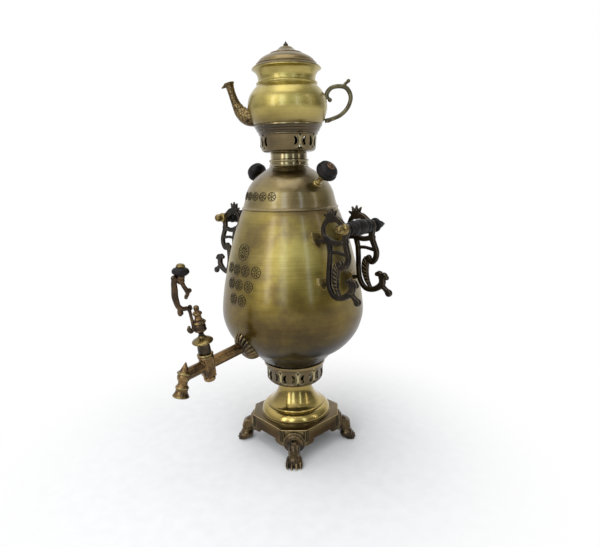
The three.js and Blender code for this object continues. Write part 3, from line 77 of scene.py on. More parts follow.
SHEET = 1.6
BORE = 21.45
TAP_REACH, TAP_HEIGHT, TAP_FALL = 148.3, 162, 8.4
NOZZLE_REACH, NOZZLE_LEAN = 34, 14
KEY_LEAN = 7.5
KNOB_OUT, KNOB_UP, KNOB_LEAN = 12.1, 120.7, 12
SPOUT_TURN = 47.3
HUB_REACH, HUB_HEIGHT = 125, 330
BRACKET_SPREAD, BRACKET_LEAN = 24, 4


# Workbench

def deselect():
    bpy.ops.object.select_all(action="DESELECT")


def alone(piece):
    deselect()
    piece.select_set(True)
    bpy.context.view_layer.objects.active = piece


@contextmanager
def editing(piece):
    alone(piece)
    bpy.ops.object.mode_set(mode="EDIT")
    yield
    bpy.ops.object.mode_set(mode="OBJECT")


def select_all():
    bpy.ops.mesh.select_all(action="SELECT")


def named(name):
    piece = bpy.context.active_object
    piece.name = name
    piece.data.name = name
    return piece


def pick(piece, chosen):
    """Selects the vertices whose number and place pass a test, while the piece is in edit mode."""
    bpy.ops.mesh.select_all(action="DESELECT")
    bpy.ops.object.mode_set(mode="OBJECT")
    for number, vertex in enumerate(piece.data.vertices):
        vertex.select = chosen(number, vertex.co)
    bpy.ops.object.mode_set(mode="EDIT")


def put(piece, matrix):
    """Moves a finished piece to its place and leaves that place in its mesh."""
    alone(piece)
    piece.matrix_world = matrix
    bpy.ops.object.transform_apply(location=True, rotation=True, scale=True)
    return piece


def copied(piece, name):
    made = piece.copy()
    made.data = piece.data.copy()
    made.name = name
    made.data.name = name
    bpy.context.scene.collection.objects.link(made)
    return made


def joined(name, pieces):
    deselect()
    for piece in pieces:
        piece.select_set(True)
    bpy.context.view_layer.objects.active = pieces[0]
    if len(pieces) > 1:
        bpy.ops.object.join()
    return named(name)


def applied(piece, kind, **settings):
    alone(piece)
    modifier = piece.modifiers.new(kind.title(), kind)
    for key, value in settings.items():
        setattr(modifier, key, value)
    bpy.ops.object.modifier_apply(modifier=modifier.name)
    return piece


def smooth(piece, angle=38):
    alone(piece)
    bpy.ops.object.shade_smooth_by_angle(angle=math.radians(angle))
    return piece


def faced_out(piece):
    """Turns a closed skin's faces outwards; edit mode's own guess can be wrong on thin hollow shapes."""
    volume = sum(face.center.dot(face.normal) * face.area for face in piece.data.polygons)
    if volume < 0:
        with editing(piece):
            select_all()
            bpy.ops.mesh.flip_normals()
    return piece


def cut(piece, cutter, operation="DIFFERENCE"):
    applied(piece, "BOOLEAN", object=cutter, operation=operation, solver="EXACT")
    bpy.data.objects.remove(cutter)
    return piece


# Outlines of (radius, height), in millimetres

def scaled(shares, size):
    radius, tall, foot = size
    return [(r * radius, foot + h * tall) for r, h in shares]


def raised(line, foot):
    return [(r, foot + h) for r, h in line]


def flowing(points, steps=6):
    """A smooth line through the points; each point may carry more than two numbers."""
    line = []
    rows = [Vector(p) for p in points]
    for i in range(len(rows) - 1):
        before = rows[i - 1] if i else rows[0] * 2 - rows[1]
        after = rows[i + 2] if i + 2 < len(rows) else rows[-1] * 2 - rows[-2]
        for k in range(steps):
            t = k / steps
            bend = (
                rows[i] * 2
                + (rows[i + 1] - before) * t
                + (before * 2 - rows[i] * 5 + rows[i + 1] * 4 - after) * t * t
                + (rows[i] * 3 - before - rows[i + 1] * 3 + after) * t * t * t
            )
            line.append(tuple(bend * 0.5))
    line.append(tuple(rows[-1]))
    return line


def curved(shares, size, steps):
    """A smooth line through shares of a piece's size."""
    return flowing(scaled(shares, size), steps)


def eased(line, radius, steps=3, least=24):
    """The outline with each sharp corner rounded off."""
    done = [tuple(line[0])]
    for before, here, after in zip(line, line[1:], line[2:]):
        corner = Vector(here)
        back = Vector(before) - corner
        on = Vector(after) - corner
        if min(back.length, on.length) < 1e-6:
            continue
        bend = math.pi - back.angle(on)
        if bend < math.radians(least):
            done.append(tuple(here))
            continue
        reach = min(radius * math.tan(bend / 2), back.length * 0.45, on.length * 0.45)
        start = corner + back.normalized() * reach
        end = corner + on.normalized() * reach
        for k in range(steps + 1):
            t = k / steps
            done.append(tuple(start * (1 - t) ** 2 + corner * (2 * t * (1 - t)) + end * t * t))
    done.append(tuple(line[-1]))
    return done


def inset(line, wall):
    """The same line moved towards the axis by the wall, for a line that climbs."""
    moved = []
    for i, (r, h) in enumerate(line):
        r0, h0 = line[max(i - 1, 0)]
        r1, h1 = line[min(i + 1, len(line) - 1)]
        length = math.hypot(r1 - r0, h1 - h0) or 1
        moved.append((r - wall * (h1 - h0) / length, h + wall * (r1 - r0) / length))
    return moved


def radius_at(line, height):
    """Radius of a turned skin at a height."""
    for (r0, h0), (r1, h1) in zip(line, line[1:]):
        if h0 <= height <= h1:
            return r0 + (r1 - r0) * (height - h0) / (h1 - h0)
    return line[-1][0]


def height_at(line, radius):
    """Height of a turned skin at a radius, where the skin narrows upwards."""
    for (r0, h0), (r1, h1) in zip(line, line[1:]):
        if r1 <= radius <= r0:
            return h0 + (h1 - h0) * (radius - r0) / (r1 - r0)
    return line[-1][1]


# Shaping

def drawn(name, points):
    """A chain of vertices drawn point by point, left in edit mode with the last one picked."""
    deselect()
    bpy.ops.mesh.primitive_plane_add(size=MM)
    piece = named(name)
    bpy.ops.object.mode_set(mode="EDIT")
    select_all()
    bpy.ops.mesh.merge(type="CENTER")
    bpy.ops.transform.translate(value=points[0])
    for here, there in zip(points, points[1:]):
        step = [b - a for a, b in zip(here, there)]
        bpy.ops.mesh.extrude_region_move(TRANSFORM_OT_translate={"value": step})
    return piece


def turned(name, outline, sides=96, ease=0.0, matrix=None, angle=38):
    """Lathe work: the outline of (radius, height) is drawn once and spun round the upright axis."""
    line = eased(outline, ease) if ease else outline
    piece = drawn(name, [(r * MM, 0, h * MM) for r, h in line])
    select_all()
    bpy.ops.mesh.spin(steps=sides, angle=2 * math.pi, center=(0, 0, 0), axis=(0, 0, 1))
    select_all()
    bpy.ops.mesh.remove_doubles(threshold=0.02 * MM)
    bpy.ops.mesh.normals_make_consistent(inside=False)
    bpy.ops.object.mode_set(mode="OBJECT")
    smooth(faced_out(piece), angle)
    return put(piece, AXIS if matrix is None else matrix)


def sawn(name, points, thick):
    """A plate with the outline of (x, z) points, centred on the X-Z plane."""
    piece = drawn(name, [(x * MM, -thick / 2 * MM, z * MM) for x, z in points])
    select_all()
    bpy.ops.mesh.edge_face_add()
    bpy.ops.mesh.extrude_region_move(TRANSFORM_OT_translate={"value": (0, thick * MM, 0)})
    select_all()
    bpy.ops.mesh.normals_make_consistent(inside=False)
    bpy.ops.object.mode_set(mode="OBJECT")
    return faced_out(piece)


def wires(name, rows, resolution=3):
    """Round bars along lines of (x, y, z, width) points, swelling and tapering with the width."""
    deselect()
    bpy.ops.curve.primitive_bezier_curve_add()
    piece = named(name)
    piece.data.dimensions = "3D"
    piece.data.splines.clear()
    for row in rows:
        line = piece.data.splines.new("POLY")
        line.points.add(len(row) - 1)
        for point, (x, y, z, width) in zip(line.points, row):
            point.co = (x * MM, y * MM, z * MM, 1)
            point.radius = width / 2
    piece.data.bevel_depth = MM
    piece.data.bevel_resolution = resolution
    piece.data.use_fill_caps = True
    bpy.ops.object.convert(target="MESH")
    return named(name)


def ball(x, y, z, rx, ry=None, rz=None):
    """A pebble of metal, in millimetres."""
    deselect()
    bpy.ops.mesh.primitive_uv_sphere_add(segments=20, ring_count=12, radius=MM)
    size = Matrix.Diagonal((rx, ry or rx, rz or rx, 1))
    return put(named("pebble"), shift(x, y, z) @ size)


def melted(name, pieces, voxel, passes=2):
    """Joins the lumps of a casting into one skin and softens it."""
    piece = joined(name, pieces)
    applied(piece, "REMESH", mode="VOXEL", voxel_size=voxel * MM)
    applied(piece, "SMOOTH", factor=0.5, iterations=passes)
    return smooth(piece, 180)


def flattened(piece, half, eye):
    """Presses both faces of a casting flat, except round its eye."""
    for side in (-1, 1):
        with editing(piece):
            pick(piece, lambda _, co: co.y * side > half * MM and math.hypot(co.x, co.z) > eye * MM)
            bpy.ops.transform.resize(value=(1, 0, 1), center_override=(0, side * half * MM, 0))
    return piece


def dressed(node, name, width=0.5, segments=2):
    """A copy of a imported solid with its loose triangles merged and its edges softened."""
    piece = copied(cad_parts[node], name)
    piece.parent = None
    for key in list(piece.keys()):
        del piece[key]
    with editing(piece):
        select_all()
        bpy.ops.mesh.remove_doubles(threshold=0.01 * MM)
        bpy.ops.mesh.dissolve_limited(angle_limit=math.radians(2))
        bpy.ops.mesh.normals_make_consistent(inside=False)
    applied(piece, "BEVEL", width=width * MM, segments=segments, limit_method="ANGLE",
            angle_limit=math.radians(30))
    return smooth(piece)


def fitted(piece, body, slot, look, *nodes):
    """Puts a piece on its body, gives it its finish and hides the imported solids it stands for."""
    piece.data.materials.clear()
    piece.data.materials.append(look)
    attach(piece, body)
    if nodes:
        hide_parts(*nodes)
    return piece


def laid(name, rows, body, look, resolution=3):
    """Fine bars laid on a turned skin as raised work."""
    piece = put(smooth(wires(name, rows, resolution), 60), AXIS)
    return fitted(piece, body, "aged_brass", look)


# Places

def turn(degrees, axis):
    return Matrix.Rotation(math.radians(degrees), 4, axis)


def shift(x, y, z):
    return Matrix.Translation((x * MM, y * MM, z * MM))


AXIS = Matrix.Translation((0, AXIS_Y, 0))
TAP_ROOT = AXIS @ shift(0, -TAP_REACH, TAP_HEIGHT)
TAP = TAP_ROOT @ turn(TAP_FALL, "X")
SPINDLE = TAP_ROOT @ turn(KEY_LEAN, "X")
NOZZLE = TAP @ shift(0, -NOZZLE_REACH, 0) @ turn(-TAP_FALL - NOZZLE_LEAN, "X")
KEY_KNOB = SPINDLE @ shift(0, -KNOB_OUT, KNOB_UP) @ turn(-KNOB_LEAN, "X")
POT = AXIS @ turn(SPOUT_TURN, "Z")
SIDES = {"right": 0, "left": 180}


# Tools for node trees

def grey(value):
    return (value, value, value, 1)


def tone(red, green, blue):
    """A screen colour, 0 to 255, as the shader's linear colour."""
    def linear(value):
        share = value / 255
        return share / 12.92 if share <= 0.04045 else ((share + 0.055) / 1.055) ** 2.4
    return (linear(red), linear(green), linear(blue), 1)


class NodeTools:
    """Adds nodes to one shader tree; each tool returns what comes out of its node."""

    def __init__(self, tree):
        self.tree = tree

    def add(self, kind, sockets=None, **settings):
        made = self.tree.nodes.new("ShaderNode" + kind)
        for key, value in settings.items():
            setattr(made, key, value)
        for key, value in (sockets or {}).items():
            if isinstance(value, bpy.types.NodeSocket):
                self.tree.links.new(value, made.inputs[key])
            else:
                made.inputs[key].default_value = value
        return made

    def moved(self, vector, location=(0, 0, 0), scale=(1, 1, 1)):
        return self.add("Mapping", {"Vector": vector, "Location": location, "Scale": scale}).outputs["Vector"]

    def noise(self, vector, scale, detail, roughness=0.5, distortion=0.0):
        return self.add("TexNoise", {"Vector": vector, "Scale": scale, "Detail": detail,
                                     "Roughness": roughness, "Distortion": distortion}).outputs["Fac"]

    def math(self, operation, *values):
        return self.add("Math", dict(enumerate(values)), operation=operation).outputs[0]

    def mapped(self, value, low, high, least, most, kind="LINEAR"):
        return self.add("MapRange", {"Value": value, "From Min": low, "From Max": high, "To Min": least,
                                     "To Max": most}, interpolation_type=kind).outputs["Result"]

    def mixed(self, share, under, over, blend="MIX"):
        return self.add("Mix", {0: share, 6: under, 7: over}, data_type="RGBA", blend_type=blend).outputs[2]

    def ramp(self, source, stops):
        made = self.add("ValToRGB", {"Fac": source})
        bar = made.color_ramp.elements
        while len(bar) < len(stops):
            bar.new(0.5)
        for stop, (place, colour) in zip(bar, stops):
            stop.position = place
            stop.color = colour if len(colour) == 4 else (*colour, 1)
        return made.outputs["Color"]

    def bump(self, height, strength, depth, under=None):
        sockets = {"Height": height, "Strength": strength, "Distance": depth * MM}
        if under:
            sockets["Normal"] = under
        return self.add("Bump", sockets).outputs["Normal"]


class Finish(NodeTools):
    """One material, with the samovar's own coordinates."""

    def __init__(self, name):
        self.material = bpy.data.materials.new(name)
        self.material.use_nodes = True
        super().__init__(self.material.node_tree)
        self.shader = self.tree.nodes["Principled BSDF"]
        self.place = self.add("TexCoord").outputs["Object"]

    def done(self, colour, gloss, skin, **constants):
        for socket, value in (("Base Color", colour), ("Roughness", gloss), ("Normal", skin)):
            if value:
                self.tree.links.new(value, self.shader.inputs[socket])
        for socket, value in constants.items():
            self.shader.inputs[socket.replace("_", " ")].default_value = value
        return self.material


# Finishes

LATHE_LINES = (6, 6, 1100)
CLOUDS = (13, 13, 19)
# Grime together with painted shade for the grooves, wear together with a painted highlight for the edges.
GROOVE_GRIME_AND_SHADE, RUBBED_EDGE_AND_HIGHLIGHT = tone(34, 26, 14), tone(206, 192, 142)
# Black for the drums' insides: soot together with painted shade behind their holes.
TARNISH, SOOT_AND_SHADE = tone(104, 84, 62), tone(14, 12, 9)


def brushed_metal(name, tones, rough=0.36, spread=0.12, turning=0.5, coat=0.3, painted_light_by_height=None, drift=0.0,
                  soot=None, film=0.12, dent=0.08, tarnish=0.0):
    """Turned brass under thin lacquer, with fine lathe lines, clouds of patina, grime together with painted
    shade in the grooves and wear together with a painted highlight on the edges.

    The shades by height are painted light: painted shade and painted reflection where they darken it, painted
    highlight lines where they brighten it; drift makes their edges waver. Soot blackens what lies nearer to
    the axis than its first number and higher than its second, soot together with painted shade inside the
    drums. Tarnish is the weight of brown patches.
    """
    look = Finish(name)
    centred = look.moved(look.place, (0, -AXIS_Y, 0))
    lines = look.noise(look.moved(centred, scale=LATHE_LINES), 1.0, 3.0, 0.6)
    clouds = look.noise(look.moved(centred, scale=CLOUDS), 1.0, 3.0)
    mottle = look.noise(centred, 120.0, 4.0, 0.6)
    blend = look.math("MULTIPLY", clouds, 0.66)
    blend = look.math("MULTIPLY_ADD", lines, 0.2, blend)
    blend = look.math("MULTIPLY_ADD", mottle, 0.14, blend)
    colour = look.ramp(blend, [(stop, tone(*shade)) for stop, shade in zip((0.36, 0.5, 0.64), tones)])
    if tarnish:
        patches = look.noise(centred, 16.0, 5.0, 0.55, 0.6)
        colour = look.mixed(look.mapped(patches, 0.48, 0.6, 0.0, tarnish), colour, TARNISH)
    height = look.add("SeparateXYZ", {"Vector": centred}).outputs["Z"]
    # Painted light by height: painted shade and painted reflection where the stops darken, painted highlight
    # lines where they brighten.
    if painted_light_by_height:
        bottom, top = painted_light_by_height[0][0] * MM, painted_light_by_height[-1][0] * MM
        wavy = look.math("MULTIPLY_ADD", clouds, drift, height)
        wavy = look.math("SUBTRACT", wavy, drift / 2)
        low = look.mapped(wavy, bottom, top, 0.0, 1.0)
        shade = look.ramp(low, [((h * MM - bottom) / (top - bottom), factor) for h, factor in painted_light_by_height])
        colour = look.mixed(1.0, colour, shade, "MULTIPLY")
    # From the mesh's pointiness: grime with painted shade in the hollows, wear with a painted highlight on the
    # ridges.
    bend = look.add("NewGeometry").outputs["Pointiness"]
    colour = look.mixed(look.mapped(bend, 0.44, 0.495, 0.8, 0.0), colour, GROOVE_GRIME_AND_SHADE)
    colour = look.mixed(look.mapped(bend, 0.52, 0.6, 0.0, 0.6), colour, RUBBED_EDGE_AND_HIGHLIGHT)
    # Soot together with painted shade: the inside of a pierced drum is blackened where shade falls behind its
    # holes.
    if soot:
        flat = look.add("VectorMath", {0: centred, 1: (1, 1, 0)}, operation="MULTIPLY").outputs["Vector"]
        reach = look.add("VectorMath", {0: flat}, operation="LENGTH").outputs["Value"]
        within = look.math("LESS_THAN", reach, soot[0] * MM)
        above = look.math("GREATER_THAN", height, soot[1] * MM)
        colour = look.mixed(look.math("MULTIPLY", within, above), colour, SOOT_AND_SHADE)
    uneven = look.math("MULTIPLY_ADD", lines, 0.35, clouds)
    gloss = look.mapped(uneven, 0.5, 0.85, rough - spread / 2, rough + spread / 2)
    wave = look.bump(look.noise(centred, 30.0, 2.0), dent, 1)
    grain = look.bump(lines, 0.1, 0.2, wave)
    if turning:
        tangent = look.add("Tangent", direction_type="RADIAL", axis="Z").outputs[0]
        look.tree.links.new(tangent, look.shader.inputs["Tangent"])
    return look.done(colour, gloss, grain, Metallic=1.0, Coat_Weight=coat, Coat_Roughness=film, Coat_IOR=1.7,
                     Anisotropic=turning)


def cast_metal(name, tones, rough=0.42, edge=0.7, lace=False, bends=(0.54, 0.6)):
    """Cast bronze: grime with painted shade in the hollows, wear with a painted highlight on its edges, a
    sandy skin; lace engraves it.
    """
    dark, middle, worn = (tone(*shade) for shade in tones)
    look = Finish(name)
    centred = look.moved(look.place, (0, -AXIS_Y, 0))
    clouds = look.noise(centred, 60.0, 4.0, 0.6)
    sand = look.noise(centred, 900.0, 2.0, 0.6)
    colour = look.ramp(clouds, [(0.38, dark), (0.62, middle)])
    if lace:
        cells = look.add("TexVoronoi", {"Vector": centred, "Scale": 260.0}, feature="DISTANCE_TO_EDGE")
        groove = look.mapped(cells.outputs["Distance"], 0.05, 0.13, 0.92, 0.0)
        colour = look.mixed(groove, colour, tone(34, 26, 18))
    bend = look.add("NewGeometry").outputs["Pointiness"]
    # Grime together with painted shade in the hollows.
    colour = look.mixed(look.mapped(bend, 0.42, 0.49, 0.85, 0.0), colour, tone(20, 16, 12))
    # Wear together with a painted highlight on the edges, in the third tone.
    edge_wear_and_highlight = look.math("MULTIPLY_ADD", clouds, 0.05, bend)
    colour = look.mixed(look.mapped(edge_wear_and_highlight, *bends, 0.0, edge), colour, worn)
    gloss = look.mapped(clouds, 0.3, 0.7, rough - 0.08, rough + 0.1)
    return look.done(colour, gloss, look.bump(sand, 0.2, 0.2), Metallic=1.0, Coat_Weight=0.3,
                     Coat_Roughness=0.25)


def black_lacquer(name):
    """Black lacquered wood: a faint grain under the lacquer, and a brown bloom where hands wear it."""
    look = Finish(name)
    along = look.moved(look.place, (0, -AXIS_Y, 0), (60, 900, 60))
    grain = look.noise(along, 1.0, 5.0, 0.65)
    bloom = look.noise(look.place, 110.0, 3.0)
    colour = look.ramp(grain, [(0.35, tone(9, 8, 8)), (0.7, tone(24, 20, 18))])
    worn = look.ramp(bloom, [(0.45, grey(0)), (0.75, grey(0.5))])
    colour = look.mixed(worn, colour, tone(44, 32, 25))
    gloss = look.mapped(bloom, 0.3, 0.7, 0.38, 0.55)
    return look.done(colour, gloss, look.bump(grain, 0.2, 0.2), Specular_IOR_Level=0.22)


def sooty_iron(name):
    """Iron of the fire tube: grey scale, soot and a little rust."""
    look = Finish(name)
    patches = look.noise(look.place, 70.0, 6.0, 0.65)
    crust = look.noise(look.place, 700.0, 3.0)
    scale, soot, rust = tone(62, 57, 53), tone(26, 24, 23), tone(86, 60, 44)
    colour = look.ramp(patches, [(0.35, soot), (0.58, scale), (0.72, rust)])
    gloss = look.mapped(crust, 0.3, 0.7, 0.55, 0.85)
    return look.done(colour, gloss, look.bump(crust, 0.4, 0.3), Metallic=0.6)


DRUM_TONES = ((66, 54, 34), (94, 80, 50), (120, 104, 68))
# The body's shades are painted: towards the bottom painted shade and a painted reflection of a dark surface
# below it, and a slightly darker top.
aged_brass = brushed_metal(
    "aged_brass", ((102, 88, 40), (142, 125, 62), (174, 157, 86)), drift=0.05, coat=0.32, film=0.16,
    dent=0.26, tarnish=0.6,
    painted_light_by_height=[(129, (0.04, 0.03, 0.018)), (165, (0.1, 0.075, 0.035)), (200, (0.37, 0.31, 0.17)),
            (240, (0.78, 0.73, 0.58)), (290, (1, 1, 1)), (348, (0.9, 0.88, 0.86))])
# The lid's shades are painted shade, darkest in a ring just below the neck collar.
lid_brass = brushed_metal(
    "lid_brass", ((96, 81, 46), (130, 114, 67), (154, 138, 87)), coat=0.5, film=0.16, dent=0.16, tarnish=0.3,
    painted_light_by_height=[(340, (0.95, 0.93, 0.9)), (370, (1, 1, 1)), (392, (0.92, 0.9, 0.86)), (403, (0.6, 0.55, 0.48)),
            (406, (1, 1, 1)), (423, (1, 1, 1))])
neck_brass = brushed_metal("neck_brass", ((108, 95, 58), (136, 121, 77), (158, 144, 100)), rough=0.2,
                           spread=0.06, turning=0.2, coat=0.7)
# The pot's shades are painted shade, darkest at its foot where it stands in the crown.
pot_brass = brushed_metal(
    "teapot_brass", ((134, 119, 55), (171, 154, 78), (194, 178, 102)), rough=0.34, coat=0.5, film=0.2,
    dent=0.14,
    painted_light_by_height=[(456, (0.3, 0.26, 0.2)), (463, (0.6, 0.55, 0.48)), (474, (0.95, 0.93, 0.9)), (490, (1, 1, 1)),
            (530, (1, 1, 1))])
cover_brass = brushed_metal("cover_brass", ((90, 76, 44), (120, 102, 60), (146, 128, 80)), rough=0.36)
# The gallery's shades are painted light: painted highlight lines on its upper rim, painted shade lines between
# its beads.
gallery_brass = brushed_metal(
    "gallery_brass", DRUM_TONES, rough=0.27, spread=0.08, turning=0.3, coat=0.4, soot=(39.9, 101.5),
    painted_light_by_height=[(95, (0.9, 0.86, 0.8)), (101, (0.9, 0.86, 0.8)), (102, (0.5, 0.45, 0.4)), (103, (1.1, 1.05, 1)),
            (104, (0.85, 0.8, 0.75)), (121.5, (0.85, 0.8, 0.75)), (122.3, (0.3, 0.24, 0.2)),
            (123.4, (0.35, 0.3, 0.26)), (124.2, (1.2, 1.15, 1.05)), (126, (1.5, 1.4, 1.2)),
            (127.6, (2, 1.9, 1.7)), (129, (0.5, 0.45, 0.4))])
# The crown's shades are painted light: painted shade lines between its rim beads, a painted highlight along
# its top edge.
crown_brass = brushed_metal(
    "crown_brass", DRUM_TONES, rough=0.27, spread=0.08, turning=0.3, coat=0.4, soot=(36.4, 428),
    painted_light_by_height=[(422.6, (1.15, 1.12, 1)), (444.2, (1, 0.97, 0.92)), (444.9, (0.3, 0.26, 0.22)),
            (446, (1.1, 1.05, 1)), (447, (0.2, 0.17, 0.14)), (448.6, (0.5, 0.46, 0.42)),
            (449.6, (0.2, 0.17, 0.14)), (451.4, (0.55, 0.5, 0.46)), (452.5, (0.2, 0.17, 0.14)),
            (454.6, (0.5, 0.46, 0.42)), (455.9, (0.2, 0.17, 0.14)), (456.6, (0.4, 0.36, 0.32)),
            (457.4, (2, 2, 1.9)), (458.4, (2, 2, 1.9))])
# The pedestal's shades are painted shade at its foot on the box and under the gallery at its top.
gold_brass = brushed_metal(
    "gold_brass", ((140, 121, 60), (174, 152, 81), (200, 178, 106)), rough=0.2, spread=0.05, turning=0.2,
    coat=0.4,
    painted_light_by_height=[(45, (0.3, 0.26, 0.2)), (49, (0.45, 0.4, 0.34)), (53, (0.95, 0.93, 0.9)), (60, (1, 1, 1)),
            (95, (0.75, 0.72, 0.66))])
box_brass = brushed_metal("box_brass", ((44, 31, 14), (72, 53, 25), (96, 73, 37)), rough=0.34, turning=0,
                          coat=0.05)
fitting_brass = cast_metal("fitting_brass", ((92, 76, 40), (140, 120, 68), (206, 190, 136)), rough=0.28)
bronze = cast_metal("dark_bronze", ((28, 22, 16), (54, 44, 31), (170, 148, 106)), rough=0.32)
bracket_bronze = cast_metal("bracket_bronze", ((26, 21, 16), (50, 41, 30), (150, 132, 98)), rough=0.34,
                            edge=0.6, bends=(0.545, 0.575))
lever_bronze = cast_metal("lever_bronze", ((44, 33, 23), (88, 67, 45), (190, 162, 118)), rough=0.3)
shell_bronze = cast_metal("shell_bronze", ((44, 34, 22), (84, 68, 44), (178, 156, 110)), rough=0.28)
paw_bronze = cast_metal("paw_bronze", ((46, 36, 24), (92, 74, 46), (216, 196, 146)), rough=0.24)
tap_bronze = cast_metal("tap_bronze", ((72, 54, 32), (132, 103, 61), (200, 176, 124)), rough=0.28)
handle_brass = cast_metal("handle_brass", ((70, 64, 44), (110, 102, 74), (164, 154, 118)), rough=0.38)
copper = cast_metal("cap_copper", ((72, 50, 36), (112, 82, 60), (176, 142, 112)), rough=0.45)
# Bright copper for the bead on the box's top edge, a painted highlight of that edge.
edge_highlight_copper = cast_metal("edge_highlight_copper", ((120, 92, 56), (158, 126, 80), (206, 178, 128)), rough=0.28)
rosette_brass = cast_metal("rosette_brass", ((28, 23, 13), (42, 35, 20), (62, 53, 31)), rough=0.4)
strap_brass = cast_metal("strap_brass", ((50, 42, 27), (70, 59, 39), (88, 76, 51)), rough=0.3)
engraved_brass = cast_metal("engraved_brass", ((98, 79, 44), (134, 111, 65), (196, 175, 124)), rough=0.3,
                            lace=True)
lacquer = black_lacquer("black_lacquer")
iron = sooty_iron("sooty_iron")


# Base box and feet

fitted(dressed("base_box", "base_shell", 0.7, 3), "stand", "aged_brass", box_brass, "base_box")

BEAD_WIDTH, BEAD_DROP, BEAD_SHARE = 0.9, 0.3, 0.998
REED_WIDTH, REED_PITCH, REED_SHARE = 2.4, 3.1, 0.994
REED_DROPS = (17.5, 1.2)
BOSS_HEIGHT = 27.5

NEAR = SIDE - CORNER
octagon = [(SIDE, -NEAR), (SIDE, NEAR)]
for _ in range(3):
    octagon += [(-y, x) for x, y in octagon[-2:]]
edge_row = [(x * BEAD_SHARE, y * BEAD_SHARE, BASE_TOP - BEAD_DROP, BEAD_WIDTH)
            for x, y in octagon + octagon[:1]]
# The bead round the box's top edge carries a painted highlight in its bright copper.
laid("base_edge_bead", [edge_row], "stand", edge_highlight_copper)
reeds = []
for here, before, after in zip(octagon, octagon[-1:] + octagon[:-1], octagon[1:] + octagon[:1]):
    for ahead, reach in ((before, REED_PITCH), (before, 0.0), (after, REED_PITCH)):
        x, y = Vector(here) + (Vector(ahead) - Vector(here)).normalized() * reach
        reeds.append([(x * REED_SHARE, y * REED_SHARE, BASE_TOP - drop, REED_WIDTH) for drop in REED_DROPS])
laid("base_corner_reeds", reeds, "stand", rosette_brass)


def made_foot():
    """Paw foot with its boss at X = 0, pointing along +X."""
    rings = [(0, 0.3), (15.6, 0.3), (15.6, 2.2), (14.6, 3.4), (12.8, 3.1), (12.3, 3.4), (11.9, 5.2),
             (10.2, 6), (0, 6.4)]
    lumps = [turned("boss", rings, 48, 0.5, shift(0, 0, BOSS_HEIGHT) @ turn(90, "Y"))]
    leg = flowing([(1.5, 0, BOSS_HEIGHT, 16), (6.5, 0, 26.2, 17.5), (10.5, 0, 20.5, 17), (12, 0, 13.5, 16),
                   (12.4, 0, 8, 18)], 6)
    lumps.append(wires("leg", [leg]))
    leaf = flowing([(8.9, 4.6, 31, 2.5), (13.4, 5.2, 28.5, 4), (16.8, 5.6, 23, 4.2), (17.8, 5.2, 17, 2.6)], 5)
    for side in (-1, 0, 1):
        lumps.append(wires("leaf", [[(x, side * y, z, w) for x, y, z, w in leaf]]))
    lumps.append(ball(12.9, 0, 7.8, 9.8, 11.6, 8.8))
    for y, back in ((-9, 2.2), (-3.25, 0.4), (3.25, 0.4), (9, 2.2)):
        lumps.append(ball(18.9 - back, y, 4.8, 5.8, 3.2, 4.9))
        lumps.append(ball(22.4 - back, y, 3.4, 3.4, 2.9, 3.4))
        lumps.append(ball(25.2 - back, y, 2.2, 2.2, 1.6, 1.9))
    foot = melted("foot", lumps, 0.55)
    with editing(foot):
        select_all()
        bpy.ops.mesh.bisect(plane_co=(0, 0, 0), plane_no=(0, 0, -1), clear_outer=True, use_fill=True)
    return foot


foot = made_foot()
corner_face = (2 * SIDE - CORNER) / math.sqrt(2)
for number, corner in enumerate((45, 135, 225, 315), 1):
    paw = put(copied(foot, f"paw_casting_{number}"), AXIS @ turn(corner, "Z") @ shift(corner_face, 0, 0))
    fitted(smooth(paw, 60), "stand", "dark_bronze", paw_bronze, f"paw_foot_{number}")
    screw = dressed(f"foot_screw_{number}", f"foot_bolt_{number}", 0.25)
    fitted(screw, "stand", "aged_brass", fitting_brass, f"foot_screw_{number}")
bpy.data.objects.remove(foot)


# Pedestal and draught gallery

rim_line = scaled([(0.905, 0.02), (0.93, 0), (1, 0), (1, 0.05), (0.985, 0.06)], PEDESTAL)
torus_shares = [(0.985, 0.066), (0.99, 0.1), (0.965, 0.165), (0.925, 0.22), (0.87, 0.262), (0.815, 0.28)]
bead_shares = [(0.8, 0.285), (0.808, 0.3), (0.808, 0.325), (0.797, 0.345), (0.778, 0.353)]
bell_shares = [(0.765, 0.358), (0.7, 0.41), (0.63, 0.49), (0.565, 0.59), (0.51, 0.71), (0.472, 0.85),
               (0.458, 1)]
hollow = flowing([(BORE, PEDESTAL[1]), (21.6, 39.3), (24, 30.3), (30, 21.3), (37, 11.3), (45, 2.3)], 4)
pedestal_line = (rim_line + curved(torus_shares, PEDESTAL, 5) + curved(bead_shares, PEDESTAL, 4)
                 + curved(bell_shares, PEDESTAL, 6) + raised(hollow, PEDESTAL[2]) + rim_line[:1])
fitted(turned("pedestal_bell", pedestal_line, 128), "stand", "polished_brass", gold_brass, "pedestal")

UNIT = 36
ARC, OFFSET = 6.8, 2.4
GUSSET, GUSSET_RISE = 2.6, 7.5
SAW = 14


def crescent(facing, size):
    """Outline of one crescent hole: half a ring, widest in its middle, with blunt ends."""
    outer, inner = [], []
    for k in range(-8, 9):
        angle = math.radians(70) * k / 8
        width = 1.6 + 3.0 * math.cos(angle)
        for row, radius in ((outer, ARC), (inner, ARC - width)):
            row.append((facing * size * (OFFSET + radius * math.cos(angle)), size * radius * math.sin(angle)))
    return outer + inner[::-1]


def gusset(up, size):
    """Three-cornered hole with sides that curve in, its point towards the band's middle."""
    half = GUSSET * size
    return [(-half * 1.6, up * half), (-half * 0.55, up * half * 0.3), (0, -up * half * 1.25),
            (half * 0.55, up * half * 0.3), (half * 1.6, up * half), (0, up * half * 0.82)]


def on_drum(radius, turn_by, height):
    return AXIS @ turn(turn_by + 90, "Z") @ shift(0, -radius, height)


